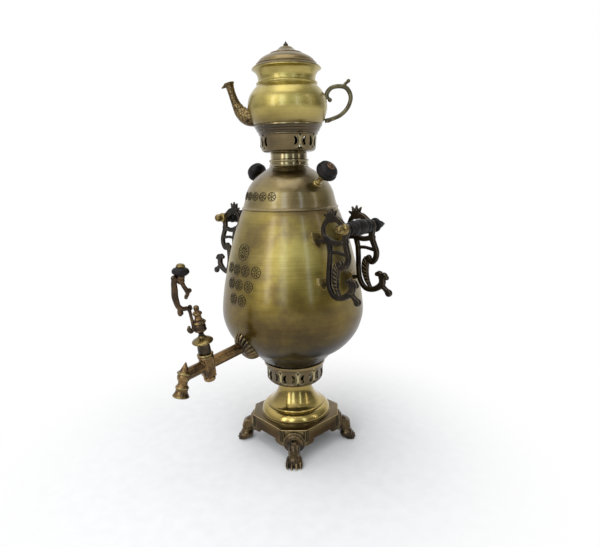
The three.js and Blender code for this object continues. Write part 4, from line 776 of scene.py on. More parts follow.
def pierced(drum, radius, height, size, crescents, gussets):
    """Cuts crescents, each with its turn and the way it faces, and three-cornered holes between them."""
    holes = []
    for place, facing in crescents:
        holes.append(put(sawn("hole", crescent(facing, size), SAW), on_drum(radius, place, height)))
    for place in gussets:
        for up in (-1, 1):
            spot = on_drum(radius, place, height + up * GUSSET_RISE * size)
            holes.append(put(sawn("hole", gusset(up, size), SAW), spot))
    return smooth(cut(drum, joined("holes", holes)), 30)


def strap(radius, place, height, facing, size):
    """One raised arc lying on the drum round a crescent."""
    row = []
    ring = (ARC + 1.2) * size
    for k in range(-9, 10):
        angle = math.radians(62) * k / 9
        lean = math.radians(place) + facing * (OFFSET * size + ring * math.cos(angle)) / radius
        row.append((radius * math.cos(lean), radius * math.sin(lean), height + ring * math.sin(angle), 1.2))
    return row


gallery_line = (
    scaled([(0.54, 0)], GALLERY)
    + curved([(0.56, 0.004), (0.68, 0.02), (0.78, 0.06), (0.83, 0.12), (0.842, 0.17)], GALLERY, 4)
    + curved([(0.86, 0.175), (0.87, 0.2), (0.86, 0.23)], GALLERY, 3)
    + scaled([(0.862, 0.24), (0.872, 0.8), (0.885, 0.805), (0.89, 0.835), (0.935, 0.845)], GALLERY)
    + curved([(0.945, 0.855), (0.948, 0.9), (0.955, 0.95), (0.95, 0.97), (0.93, 0.98)], GALLERY, 3)
    + scaled([(0.885, 0.985), (0.885, 1)], GALLERY)
)
DRUM, DRUM_WALL = 41.07, 2
BAND = GALLERY[2] + GALLERY[1] * 0.46
ROOM = DRUM - DRUM_WALL
room_line = raised([(ROOM, GALLERY[1]), (ROOM, 12.4), (36, 5.4), (BORE, DRUM_WALL), (BORE, 0)], GALLERY[2])
gallery = turned("gallery_drum", gallery_line + room_line + gallery_line[:1], 160, 0.4)
units = [-90 + UNIT * k for k in range(10)]
faced_units = [(u, side) for u in units for side in (-1, 1)]
pierced(gallery, DRUM, BAND, 1.0, faced_units, [u + UNIT / 2 for u in units])
fitted(gallery, "stand", "aged_brass", gallery_brass, "draught_gallery")
rows = [strap(DRUM - 0.2, u, BAND, side, 1) for u, side in faced_units]
laid("gallery_straps", rows, "stand", strap_brass, 2)


# Water body, fire tube and grate

BODY_SHARES = [(0.428, 0), (0.478, 0.014), (0.584, 0.064), (0.767, 0.123), (0.91, 0.203), (0.985, 0.29),
               (1, 0.37), (0.966, 0.5), (0.917, 0.61), (0.86, 0.721), (0.784, 0.845), (0.697, 0.955),
               (0.652, 1)]
MOUTH, FLOOR = 33.3, 2
body_line = curved(BODY_SHARES, BODY, 8)
body_inside = [(r, h) for r, h in inset(body_line, SHEET) if h > BODY[2] + FLOOR + 0.2]
body_floor = raised([(MOUTH, FLOOR), (MOUTH, 0)], BODY[2])
shell_line = body_floor + body_line + body_inside[::-1] + body_floor[:1]
fitted(turned("water_body_shell", shell_line, 192, 0.3, angle=50), "stand", "aged_brass", aged_brass,
       "water_body")


def body_core(grow=0.0):
    """Solid plug of the body's outside, to cut neighbours to its skin."""
    line = [(r + grow, h) for r, h in body_line]
    return turned("core", [(0, BODY[2] - 0.3)] + line + [(0, line[-1][1])], 192)


FIREBOX, FLUE, TUBE_TOP = 33, 20, 285
LEDGE, BEAD_REACH = 28.4, 36.5
tube_line = [(FIREBOX, -5), (FIREBOX, 2.3), (BEAD_REACH, 2.3), (BEAD_REACH, 3.9), (FIREBOX, 3.9),
             (FIREBOX, 74), (FLUE, 134), (FLUE, TUBE_TOP), (FLUE - SHEET, TUBE_TOP), (FLUE - SHEET, 134),
             (FIREBOX - SHEET, 74), (FIREBOX - SHEET, 3), (LEDGE, 3), (LEDGE, -5), (FIREBOX, -5)]
fitted(turned("fire_tube_wall", raised(tube_line, BODY[2]), 72, 0.3), "stand", "cast_iron", iron, "fire_tube")
fitted(dressed("fire_grate", "fire_grate_plate", 0.4), "stand", "cast_iron", iron, "fire_grate")


# Lid, neck and knobs

LID_SHARES = [(1, 0), (0.965, 0.14), (0.914, 0.37), (0.859, 0.5125), (0.782, 0.64), (0.67, 0.77),
              (0.552, 0.87), (0.44, 0.95), (0.398, 1)]
NECK_BORE = 22.8
SKIRT = 62.4
lid_line = curved(LID_SHARES, LID, 8)
lid_above = [(r, h) for r, h in lid_line if h > LID[2] + 2.8]
lid_inside = [(r, h) for r, h in inset(lid_line, SHEET) if h > LID[2] + 1.9 and r > 25]
bead = flowing([(65.3, 0), (66.15, 0.15), (66.45, 1), (66.1, 1.9), (65, 2.4)], 4)
skirt = [(SKIRT - SHEET, SHEET), (SKIRT - SHEET, -8), (SKIRT, -8), (SKIRT, 0), (65.3, 0)]
lid_top = [(NECK_BORE, LID[1]), (NECK_BORE, LID[1] - SHEET)]
lid_outline = (raised(bead, LID[2]) + lid_above + raised(lid_top, LID[2]) + lid_inside[::-1]
               + raised(skirt, LID[2]))
fitted(turned("lid_dome", lid_outline, 192, 0.25, angle=50), "lid", "aged_brass", lid_brass, "samovar_lid")

neck_line = [(NECK_BORE, 0), (26.6, 0), (27, 0.7), (26.6, 1.6), (25.9, 2), (25.9, 5.5), (26.7, 6.2),
             (27.05, 7.2), (26.7, 8.3), (25.1, 9), (24.8, 9.5), (24.7, 16.5), (24.3, 17.4),
             (NECK_BORE, 17.4), (NECK_BORE, 0)]
fitted(turned("neck_collar", raised(neck_line, NECK_FOOT), 128, 0.35), "lid", "aged_brass", neck_brass,
       "lid_neck")

KNOB_TILT = 49
KNOB_REACH = LID[0] * 0.817
stem_line = ([(0, -3), (6.4, -3), (6.6, 1.2), (5.9, 2.3), (4.3, 3), (3.7, 4.2)]
             + flowing([(3.5, 5), (3.1, 8), (3.3, 10.4)], 3)
             + [(4.4, 11.2), (5.5, 12), (5.7, 13.4), (5.4, 14.8), (4.6, 15.8), (0, 15.8)])
knob_line = ([(0, 15.9), (5.4, 15.9)]
             + flowing([(6.8, 16), (10.6, 17), (13.2, 19.6), (14.2, 22.8), (13.7, 25.2)], 4)
             + flowing([(12.9, 25.5), (13, 27.5), (11.9, 30), (9.4, 32)], 4)
             + [(6.2, 32.9), (5.4, 32.3), (0, 32.3)])
cap_line = [(0, 32.2), (5.2, 32.4), (5.7, 33.2), (5.2, 34), (3.6, 34.2), (3.2, 35), (1.8, 35.8), (0, 36.1)]
knob_height = height_at(lid_line, KNOB_REACH)
for side, place in SIDES.items():
    spot = AXIS @ turn(place, "Z") @ shift(KNOB_REACH, 0, knob_height) @ turn(KNOB_TILT, "Y")
    post = turned(f"knob_post_{side}", stem_line, 48, 0.3, spot)
    fitted(post, "lid", "polished_brass", fitting_brass, f"knob_stem_{side}")
    wood = turned(f"knob_wood_{side}", knob_line, 64, 0.4, spot)
    fitted(wood, "lid", "black_wood", lacquer, f"lid_knob_{side}")
    button = turned(f"knob_button_{side}", cap_line, 40, 0.2, spot)
    fitted(button, "lid", "polished_brass", copper, f"knob_cap_{side}")


# Rosettes

def rosette_rows(place, height, size, skin, petals):
    """Lines of one rosette laid on a turned skin: two rings, a round of petals and an eye."""
    def spot(across, up, width):
        radius = radius_at(skin, height + up) + 0.1
        lean = math.radians(place) + across / radius
        return (radius * math.cos(lean), radius * math.sin(lean), height + up, width)

    def loop(radius, width):
        turns = [2 * math.pi * k / 28 for k in range(29)]
        return [spot(radius * math.cos(a), radius * math.sin(a), width) for a in turns]

    rows = [loop(size / 2, 1.1), loop(size * 0.1, 1.0)]
    for k in range(petals):
        a = 2 * math.pi * (k + 0.5) / petals
        rows.append([spot(size * r * math.cos(a), size * r * math.sin(a), w)
                     for r, w in ((0.17, 0.6), (0.25, 1.5), (0.34, 1.8), (0.4, 0.8))])
    return rows


def rosette_band(count, pitch, height, size, skin, petals):
    """A row of rosettes, centred over the tap."""
    rows = []
    step = math.degrees(pitch / radius_at(skin, height))
    for k in range(count):
        rows += rosette_rows(-90 + step * (k - (count - 1) / 2), height, size, skin, petals)
    return rows


rows = rosette_rows(-90, 297, 21, body_line, 12)
for count, height in ((4, 274), (3, 255), (2, 236)):
    rows += rosette_band(count, 18, height, 14, body_line, 8)
laid("body_rosettes", rows, "stand", rosette_brass, 1)
laid("lid_rosettes", rosette_band(5, 13.5, 367, 10.5, lid_line, 6), "lid", rosette_brass, 1)


# Crown

crown_line = (
    raised([(18.4, -6), (22.4, -6), (22.4, 0)], CROWN[2])
    + curved([(0.66, 0), (0.74, 0.03), (0.78, 0.075), (0.803, 0.14)], CROWN, 4)
    + scaled([(0.834, 0.62)], CROWN)
    + curved([(0.858, 0.628), (0.868, 0.65), (0.86, 0.675)], CROWN, 3)
    + curved([(0.868, 0.69), (0.885, 0.72), (0.89, 0.75)], CROWN, 3)
    + curved([(0.915, 0.76), (0.922, 0.79), (0.928, 0.83)], CROWN, 3)
    + curved([(0.945, 0.845), (0.962, 0.89), (0.975, 0.93)], CROWN, 3)
    + scaled([(1, 0.94), (1, 1)], CROWN)
    + raised([(42.8, CROWN[1]), (42.8, 31.8), (36.5, 22.1), (35, 5.4), (32, 2), (18.4, 2), (18.4, -6)],
             CROWN[2])
)
CROWN_DRUM = 37.5
CROWN_BAND = CROWN[2] + CROWN[1] * 0.385
crown = turned("crown_drum", crown_line, 160, 0.35)
shrink = CROWN_DRUM / DRUM
centres = [0, 120, 240]
whole = [(c, side) for c in centres for side in (-1, 1)]
halves = [(c + UNIT, -1) for c in centres] + [(c - UNIT, 1) for c in centres]
pierced(crown, CROWN_DRUM, CROWN_BAND, shrink, whole + halves, [c + side * UNIT / 2 for c, side in whole])
fitted(crown, "crown", "aged_brass", crown_brass, "teapot_crown")
rows = [strap(CROWN_DRUM - 0.1, c + UNIT * k, CROWN_BAND, side, shrink)
        for c in centres for k, side in ((0, -1), (0, 1), (1, -1), (-1, 1))]
laid("crown_straps", rows, "crown", strap_brass, 2)


# Teapot

belly_shares = [(0.86, 0), (0.915, 0.06), (0.975, 0.19), (1, 0.33), (0.958, 0.49), (0.86, 0.61),
                (0.78, 0.675), (0.748, 0.7)]
collar_shares = [(0.748, 0.708), (0.76, 0.72), (0.764, 0.737), (0.755, 0.752), (0.738, 0.757)]
throat_shares = [(0.722, 0.762), (0.711, 0.81), (0.73, 0.88), (0.785, 0.945), (0.84, 0.978)]
inside_shares = [(0.822, 0.995), (0.755, 0.94), (0.678, 0.81), (0.71, 0.7), (0.8, 0.63), (0.92, 0.49),
                 (0.964, 0.33), (0.94, 0.2), (0.82, 0.05), (0, 0.014)]
pot_line = (
    raised([(0, -2), (41.8, -2), (41.8, 0)], TEAPOT[2])
    + curved(belly_shares, TEAPOT, 8)
    + curved(collar_shares, TEAPOT, 4)
    + curved(throat_shares, TEAPOT, 6)
    + scaled([(0.86, 0.984), (0.862, 1), (0.835, 1)], TEAPOT)
    + curved(inside_shares, TEAPOT, 5)
)
fitted(turned("teapot_shell", pot_line, 160, 0.3, POT), "teapot", "aged_brass", pot_brass, "teapot_body")

crest_shares = [(0.445, 0.69), (0.34, 0.755), (0.25, 0.845), (0.18, 0.94), (0.1, 0.985), (0.055, 1)]
cover_line = (
    scaled([(0.79, -0.25), (0.79, 0), (0.97, 0)], COVER)
    + curved([(0.985, -0.01), (1.002, 0.012), (1, 0.045), (0.975, 0.07)], COVER, 3)
    + curved([(0.96, 0.08), (0.93, 0.12), (0.9, 0.155)], COVER, 3)
    + curved([(0.905, 0.165), (0.908, 0.195), (0.885, 0.22)], COVER, 3)
    + curved([(0.868, 0.225), (0.82, 0.345), (0.725, 0.465), (0.61, 0.56), (0.515, 0.615)], COVER, 5)
    + curved([(0.49, 0.62), (0.495, 0.655), (0.47, 0.685)], COVER, 3)
    + curved(crest_shares, COVER, 5)
    + scaled([(0.052, 0.72), (0.22, 0.7), (0.38, 0.59), (0.53, 0.47), (0.753, 0.23), (0.753, -0.25),
              (0.79, -0.25)], COVER)
)
fitted(turned("teapot_cover_dome", cover_line, 144, 0.3, POT), "teapot_cover", "aged_brass", cover_brass,
       "teapot_lid")
finial_line = [(0, -8.2), (2, -8.2), (2, 0.2), (3.1, 0.3)] + flowing(
    [(3.2, 0.8), (3.3, 1.5), (2.7, 2.4), (1.7, 3.4), (1.1, 4.6), (0.5, 5.5), (0, 5.7)], 4)
finial = turned("teapot_cover_tip", raised(finial_line, COVER[2] + COVER[1]), 40, 0.2, POT)
fitted(finial, "teapot_cover", "dark_bronze", bronze, "teapot_finial")

SPOUT_REACH = 75.5
SPOUT_SHARES = [(0.55, 0.15, 0.23), (0.7, 0.16, 0.215), (0.82, 0.25, 0.165), (0.9, 0.4, 0.112),
                (0.955, 0.56, 0.094), (0.985, 0.68, 0.098), (1, 0.745, 0.112)]
SPOUT_LIP = [(0, 12), (0.3, 13.2), (1.0, 14), (2.0, 14.2), (2.7, 13.4)]
SPOUT_WALL = 1.5
HOLLOW_FROM = 20
RING_PLACES, RING_TILT = range(10, 46, 3), 22


def made_spout():
    """Hollow spout along -X, with a flared lip, a beak and slanting rings in turn."""
    girth, tall, pot_foot = TEAPOT
    path = flowing([(-x * SPOUT_REACH, 0, pot_foot + z * tall, 2 * r * girth) for x, z, r in SPOUT_SHARES], 8)
    end = Vector(path[-1][:3])
    along = (end - Vector(path[-4][:3])).normalized()
    lumps = [wires("skin", [path + [(*(end + along * d), w) for d, w in SPOUT_LIP]], 12)]
    hollow = [(x, y, z, max(w - 2 * SPOUT_WALL, 2)) for x, y, z, w in path[HOLLOW_FROM:]]
    core = wires("hollow", [hollow + [(*(end + along * 6), 10.8)]], 12)
    beak = flowing([(-78, 51.4, 6), (-82, 50, 4.2), (-86, 47.8, 1.8)], 4)
    lumps.append(wires("beak", [[(x, 0, pot_foot + z, w) for x, z, w in beak]]))
    for k in RING_PLACES:
        x, y, z, w = path[k]
        ahead = Vector(path[k + 1][:3]) - Vector((x, y, z))
        tilt = math.degrees(math.atan2(ahead.x, ahead.z)) + RING_TILT * (-1) ** k
        deselect()
        bpy.ops.mesh.primitive_torus_add(major_radius=(w / 2) * MM, minor_radius=0.55 * MM, major_segments=32,
                                         minor_segments=6)
        lumps.append(put(named("ring"), shift(x, 0, z) @ turn(tilt, "Y")))
    return cut(melted("spout", lumps, 0.5), core)


spout = smooth(put(made_spout(), POT), 50)
fitted(spout, "teapot", "polished_brass", engraved_brass, "teapot_spout")

EAR_SWELL = 1.2
EAR_BARS = [
    [(51.4, 30.9, 5.5), (52.8, 38.9, 5.2), (58.6, 45.2, 4.8), (68.6, 47, 4.8), (77.6, 45, 5), (82.9, 37.8, 5),
     (83.7, 29.4, 4.8), (79.2, 18.9, 4.7), (70.2, 10.5, 4.6), (59.1, 5.9, 4.6), (49.1, 3.5, 4.8)],
    [(73.9, 46, 4.4), (77, 49.8, 3.6), (80, 52.3, 3.1), (81, 53.2, 3.6)],
    [(51.8, 35.9, 3.4), (54.4, 32.6, 3.2), (56.2, 30.2, 3.6)],
    [(60, 6.4, 4), (55, 3.2, 3), (52.5, 2.7, 3)],
]
ear_rows = [[(x, 0, TEAPOT[2] + z, w * EAR_SWELL) for x, z, w in flowing(bar, 6)] for bar in EAR_BARS]
spur_tip, curl_tip = ball(81, 0, TEAPOT[2] + 53.4, 2.6), ball(56.4, 0, TEAPOT[2] + 30, 2.9)
ear = put(melted("ear", [wires("bars", ear_rows, 5), spur_tip, curl_tip], 0.45, 3), POT)
fitted(ear, "teapot", "aged_brass", handle_brass, "teapot_handle")


# Tap

pipe_line = [(3.6, -33), (7.6, -33), (7.6, -8), (7.9, 78), (3.6, 78), (3.6, -33)]
barrel_line = ([(0, -16.5), (6.6, -16.5), (8, -15.2), (8.2, -12.6), (8.4, -9), (9.2, 8), (9.3, 9.6),
                (8.7, 10.2)]
               + flowing([(8.7, 10.6), (9.9, 11), (10.3, 12), (9.9, 13)], 3)
               + flowing([(9, 13.4), (9.9, 14), (10.2, 15), (9.6, 16)], 3) + [(8.6, 16.4), (0, 16.5)])
upright = turn(KEY_LEAN - TAP_FALL, "X")
lumps = [turned("pipe", pipe_line, 64, 0.3, turn(-90, "X")), turned("barrel", barrel_line, 64, 0.4, upright)]
rib = wires("rib", [[(0, 0, -15.8, 3.4), (0, 0, -6, 4.2), (0, 0, 6, 4.2), (0, 0, 10, 3.4)]], 4)
for place in (35, 145, 215, 325):
    lumps.append(put(copied(rib, "rib"), upright @ turn(place, "Z") @ shift(8.4, 0, 0)))
bpy.data.objects.remove(rib)
casting = put(melted("tap_body", lumps, 0.5), TAP)
fitted(casting, "stand", "dark_bronze", tap_bronze, "tap_casting")

fitted(dressed("tap_back_plate", "tap_back_washer", 0.4), "stand", "polished_brass", fitting_brass,
       "tap_back_plate")

FLUTES, FLUTE_SIDES = 22, 6
FLUTE_SQUEEZES = ((0, 0.885), (1, 0.925), (5, 0.925))
SHELL_WIDE, SHELL_TALL, SHELL_ROOT = 17, 27.5, -16
SHELL_LEVELS = [(SHELL_ROOT, 1.06), (-8, 1.04), (0, 1.0), (5, 0.93), (9.5, 0.8), (12.5, 0.64), (14, 0.5),
                (14.6, 0.4), (14.2, 0.36)]


def made_shell():
    """Fluted shell round the root of the tap: a pinched oval ring, drawn out and in towards the pipe."""
    deselect()
    bpy.ops.mesh.primitive_circle_add(vertices=FLUTES * FLUTE_SIDES, radius=MM, fill_type="NOTHING")
    piece = named("flutes")
    bpy.ops.object.mode_set(mode="EDIT")
    for step, squeeze in FLUTE_SQUEEZES:
        pick(piece, lambda number, _: number % FLUTE_SIDES == step)
        bpy.ops.transform.resize(value=(squeeze, squeeze, 1), center_override=(0, 0, 0))
    select_all()
    bpy.ops.transform.resize(value=(SHELL_WIDE, SHELL_TALL, 1), center_override=(0, 0, 0))
    bpy.ops.transform.translate(value=(0, 0, SHELL_ROOT * MM))
    levels = flowing(SHELL_LEVELS, 3)
    for (z0, s0), (z1, s1) in zip(levels, levels[1:]):
        bpy.ops.mesh.extrude_edges_move(TRANSFORM_OT_translate={"value": (0, 0, (z1 - z0) * MM)})
        bpy.ops.transform.resize(value=(s1 / s0, s1 / s0, 1), center_override=(0, 0, z1 * MM))
    bpy.ops.mesh.edge_face_add()
    pick(piece, lambda _, co: abs(co.z - SHELL_ROOT * MM) < MM * 0.01)
    bpy.ops.mesh.edge_face_add()
    select_all()
    bpy.ops.mesh.normals_make_consistent(inside=False)
    bpy.ops.object.mode_set(mode="OBJECT")
    return faced_out(piece)


WALL_REACH, WALL_HALF = 66.4, 4.38
entry_height = TAP_HEIGHT + WALL_REACH * math.sin(math.radians(TAP_FALL))
flare = radius_at(body_line, entry_height + WALL_HALF) - radius_at(body_line, entry_height - WALL_HALF)
wall_lean = math.degrees(math.atan2(flare, 2 * WALL_HALF)) - TAP_FALL
tap_shell = put(made_shell(), TAP @ shift(0, WALL_REACH, 0) @ turn(wall_lean, "X") @ turn(90, "X"))
smooth(cut(tap_shell, body_core(-0.4)), 50)
fitted(tap_shell, "stand", "dark_bronze", shell_bronze, "tap_shell")

nozzle_line = (
    [(0, 17.6)] + flowing([(0.6, 17.2), (2.2, 13.8), (3.9, 10.2), (5.4, 7.4)], 3) + [(5.5, 6.6), (6.3, 6.2)]
    + flowing([(6.8, 5.6), (8.2, 4.6), (8.3, 3.2), (7.6, 2.2)], 3)
    + flowing([(7.4, 1.8), (8, 0), (7.9, -3), (7.2, -5)], 3)
    + flowing([(6.3, -6.2), (5.9, -8.5), (6.2, -11)], 3)
    + flowing([(7.4, -12), (8.1, -13.8), (7.9, -16), (7.4, -17.6)], 3)
    + flowing([(7.4, -18), (8.1, -20.6), (9.4, -23), (10, -24.2)], 3) + [(10, -26), (8.2, -26)]
    + flowing([(8.2, -26), (6.4, -20), (4.6, -16), (4.4, -8), (4.4, 0)], 3) + [(0, 3)]
)
fitted(turned("tap_mouth", nozzle_line, 64, 0.25, NOZZLE), "stand", "dark_bronze", tap_bronze, "tap_nozzle")


def ring(name, body, look, place, radius, low, high, out):
    """A bead round a turned piece."""
    inner = radius - 2
    bulge = flowing([(radius, low), (radius + out, (low + high) / 2), (radius, high)], 4)
    line = [(inner, low)] + bulge + [(inner, high), (inner, low)]
    fitted(turned(name, line, 64, 0, place), body, "dark_bronze", look)


for name, place, radius, low, high, out in (
        ("tap_ring_top", SPINDLE, 9.5, 13.6, 16.2, 1.0), ("tap_ring_low", SPINDLE, 9.3, 10.2, 12.0, 0.8),
        ("mouth_ring_top", NOZZLE, 7.9, 2.1, 5.2, 1.1), ("mouth_ring_low", NOZZLE, 7.6, -15.6, -12.6, 0.9),
        ("mouth_ring_rim", NOZZLE, 9.9, -26.1, -24.0, 0.6)):
    ring(name, "stand", fitting_brass, place, radius, low, high, out)


# Key of the tap

disc_line = [(3.3, 30.7)] + flowing(
    [(8.4, 30.7), (11.8, 30.9), (13.1, 31.9), (13.3, 33), (12.6, 34.2), (9.8, 36), (6.8, 37.6), (5, 39),
     (4.2, 40.6)], 4) + [(3.3, 40.8), (3.3, 30.7)]
fitted(turned("drip_disc", disc_line, 72, 0.2, SPINDLE), "key", "dark_bronze", fitting_brass)
plug_line = ([(0, -19), (2.6, -19), (2.6, -16.3), (4, -16.3), (4.9, 16.8), (7.8, 16.8), (8.2, 17.6),
              (8.2, 22), (7.8, 28), (7.3, 30.6), (3.5, 30.6)]
             + flowing([(3.5, 40.6), (3.3, 43), (3.9, 45)], 4)
             + [(4, 45.8), (2.6, 45.8), (2.6, 70.2), (0, 70.2)])
# The plug is dark bronze so that its neck under the drip disc reads dark: painted shade under the disc.
fitted(turned("tap_plug_turned", plug_line, 64, 0.3, SPINDLE), "key", "dark_bronze", bronze, "tap_plug")
plug_cap_line = [(0, -22.2), (5.4, -22.2), (6.4, -22), (7.4, -20.8), (7.7, -19), (7.7, -17.4), (7.2, -16.6),
                 (2.9, -16.6), (2.9, -20.8), (0, -20.8)]
fitted(turned("plug_cap", plug_cap_line, 48, 0.3, SPINDLE), "key", "dark_bronze", tap_bronze, "plug_nut")

KEY_REACH, KEY_RISE, KEY_FOOT, KEY_GIRTH = 24.2, 76.5, 46.1, 27
KEY_BARS = [
    [(0.59, 0.137, 0.12), (0.65, 0.099, 0.15), (0.53, 0.051, 0.17), (0.37, 0.093, 0.17), (0.35, 0.191, 0.16),
     (0.37, 0.312, 0.15), (0.38, 0.378, 0.16), (0.45, 0.444, 0.2), (0.74, 0.47, 0.22), (0.93, 0.527, 0.25),
     (1, 0.692, 0.3), (0.95, 0.791, 0.29), (0.92, 0.886, 0.27), (0.86, 0.985, 0.22)],
    [(0.86, 0.5, 0.2), (0.93, 0.438, 0.2), (0.91, 0.394, 0.18), (0.81, 0.407, 0.12)],
    [(0.46, 0.44, 0.14), (0.32, 0.465, 0.17), (0.27, 0.425, 0.11)],
    [(0.86, 0.97, 0.2), (0.57, 0.94, 0.24), (0.43, 0.812, 0.2), (0.32, 0.729, 0.22), (0.31, 0.673, 0.18),
     (0.43, 0.628, 0.14)],
    [(0.34, 0.74, 0.14), (0.18, 0.719, 0.18)],
    [(0.54, 0.92, 0.3), (0.5, 0.97, 0.3)],
]
KEY_KNUCKLES = ((-14.4, 53.6, 4.4), (-20, 77, 3.6), (-9.8, 96, 3.6))


def made_key():
    """Scroll lever with its hub, its bars given as shares of the lever's reach, rise and girth."""
    rows = [flowing([(0, -out * KEY_REACH, KEY_FOOT + up * KEY_RISE, w * KEY_GIRTH) for out, up, w in bar], 6)
            for bar in KEY_BARS]
    hub_line = ([(2.9, 46.2), (6.4, 46.2), (7.2, 46.8), (7.7, 48), (7.6, 54.6), (6.9, 55.8), (6.8, 56.6)]
                + flowing([(7.9, 57), (8.4, 58.2), (8.2, 59.4), (7, 60.2)], 3)
                + [(6.2, 61.4), (2.9, 61.5), (2.9, 46.2)])
    lumps = [wires("bars", rows, 4), turned("hub", hub_line, 56, 0.3, Matrix())]
    for row in rows:
        for x, y, z, w in (row[0], row[-1]):
            lumps.append(ball(x, y, z, w * 0.62))
    for y, z, w in KEY_KNUCKLES:
        lumps.append(ball(0, y, z, w * 0.6))
    spine = flowing([(-17.9, 82.1, 1.3), (-24.4, 86.4, 1.6), (-26.4, 99, 2), (-25.6, 106.6, 2),
                     (-24, 114, 1.4)], 6)
    for x in (-2.1, 2.1):
        lumps.append(wires("vein", [[(x, y, z, w) for y, z, w in spine]]))
    return melted("key", lumps, 0.42)


ring("hub_ring_top", "key", tap_bronze, SPINDLE, 7.9, 56.8, 59.8, 0.9)
ring("hub_ring_low", "key", tap_bronze, SPINDLE, 7.5, 47.2, 49.4, 0.7)
fitted(put(made_key(), SPINDLE), "key", "dark_bronze", lever_bronze, "key_lever")
top_nut_line = ([(2.9, 61.9), (4.8, 61.9), (5, 62.6), (4.4, 63.6), (4.3, 67)]
                + flowing([(5.2, 68), (6, 69.4), (5.8, 70.8), (4.6, 72)], 3)
                + flowing([(3.1, 72.6), (3, 73.6), (3.5, 75.4), (3.6, 77), (3.2, 78.8), (1.8, 80),
                           (0, 80.4)], 3)
                + [(0, 70.6), (2.9, 70.6), (2.9, 61.9)])
fitted(turned("key_crown_nut", top_nut_line, 40, 0.2, SPINDLE), "key", "polished_brass", tap_bronze,
       "key_top_nut")
key_knob_line = [(0, 0.3), (4, 0.3)] + flowing(
    [(4.6, 0.5), (7.4, 2.2), (9.8, 4.4), (10.4, 6.2), (9.8, 8.4), (8.2, 10.2), (6, 11.2)], 4) + [(0, 11.3)]
fitted(turned("key_grip", key_knob_line, 56, 0.2, KEY_KNOB), "key", "black_wood", lacquer, "key_knob")
button_line = [(0, 11.4), (5.4, 11.5), (5.7, 12.2), (5.5, 13)] + flowing(
    [(5.2, 13.6), (4.2, 15), (2.2, 15.9), (0, 16.1)], 4)
fitted(turned("key_grip_button", button_line, 40, 0.2, KEY_KNOB), "key", "polished_brass", fitting_brass,
       "key_button")


# Handles

INSET, DROP, BAR_GIRTH = 38, 84.5, 1.45
BRACKET_BARS = [
    [(0.72, 0.2, 0.14), (0.66, 0.34, 0.13), (0.655, 0.5, 0.13), (0.67, 0.7, 0.13), (0.63, 0.86, 0.13),
     (0.45, 0.975, 0.13), (0.2, 1, 0.13), (-0.1, 0.955, 0.15), (-0.32, 0.87, 0.17), (-0.33, 0.76, 0.16)],
    [(0, 0.05, 0.17), (0.04, 0.17, 0.15), (-0.06, 0.3, 0.14), (-0.13, 0.39, 0.14), (-0.09, 0.49, 0.14),
     (0.06, 0.555, 0.14), (0.22, 0.53, 0.12)],
    [(0.2, 0.5, 0.14), (0.33, 0.56, 0.19), (0.38, 0.7, 0.18), (0.33, 0.84, 0.14), (0.2, 0.95, 0.09)],
    [(0.74, 0.19, 0.15), (0.4, 0.215, 0.13), (0, 0.18, 0.13)],
    [(0.66, 0.36, 0.09), (0.35, 0.345, 0.08), (-0.08, 0.37, 0.09)],
    [(0.74, 0.19, 0.13), (0.95, 0.12, 0.12), (1, 0.03, 0.11), (0.9, -0.07, 0.12), (0.7, -0.14, 0.16)],
    [(0.68, -0.13, 0.18), (0.4, -0.125, 0.15), (0.16, -0.05, 0.15), (0.05, 0, 0.18)],
    [(0.7, -0.12, 0.13), (0.82, -0.155, 0.1), (0.96, -0.18, 0.05)],
    [(0.69, -0.13, 0.12), (0.76, -0.2, 0.1), (0.82, -0.25, 0.05)],
    [(0.67, -0.13, 0.12), (0.65, -0.21, 0.1), (0.63, -0.272, 0.05)],
    [(0.64, -0.13, 0.12), (0.54, -0.2, 0.1), (0.45, -0.25, 0.05)],
    [(-0.32, 0.78, 0.15), (-0.24, 0.72, 0.14), (-0.12, 0.735, 0.1)],
    [(-0.33, 0.78, 0.15), (-0.42, 0.735, 0.14), (-0.52, 0.77, 0.1)],
    [(-0.3, 0.9, 0.13), (-0.45, 0.95, 0.12), (-0.58, 1, 0.16)],
]
BRACKET_KNOTS = ((0.66, 0.36, 3.1), (0.36, 0.345, 2.4), (-0.1, 0.37, 3), (0.74, 0.19, 3.3), (0.02, 0.18, 3))
BRACKET_HALF, EYE_REACH = 2.45, 6.8
HORN, RIDGE_TILT = 2, 24
ARMS = ((0.72, 0.2, 10), (0.62, 0.83, 7))
PAD_WIDE, PAD_THICK, PAD_PROUD = 6.5, 16, 3.4


def wall_at(share):
    """How far the body's skin lies from the rod, along X, at a share of the bracket's drop."""
    return radius_at(body_line, HUB_HEIGHT - share * DROP) - HUB_REACH


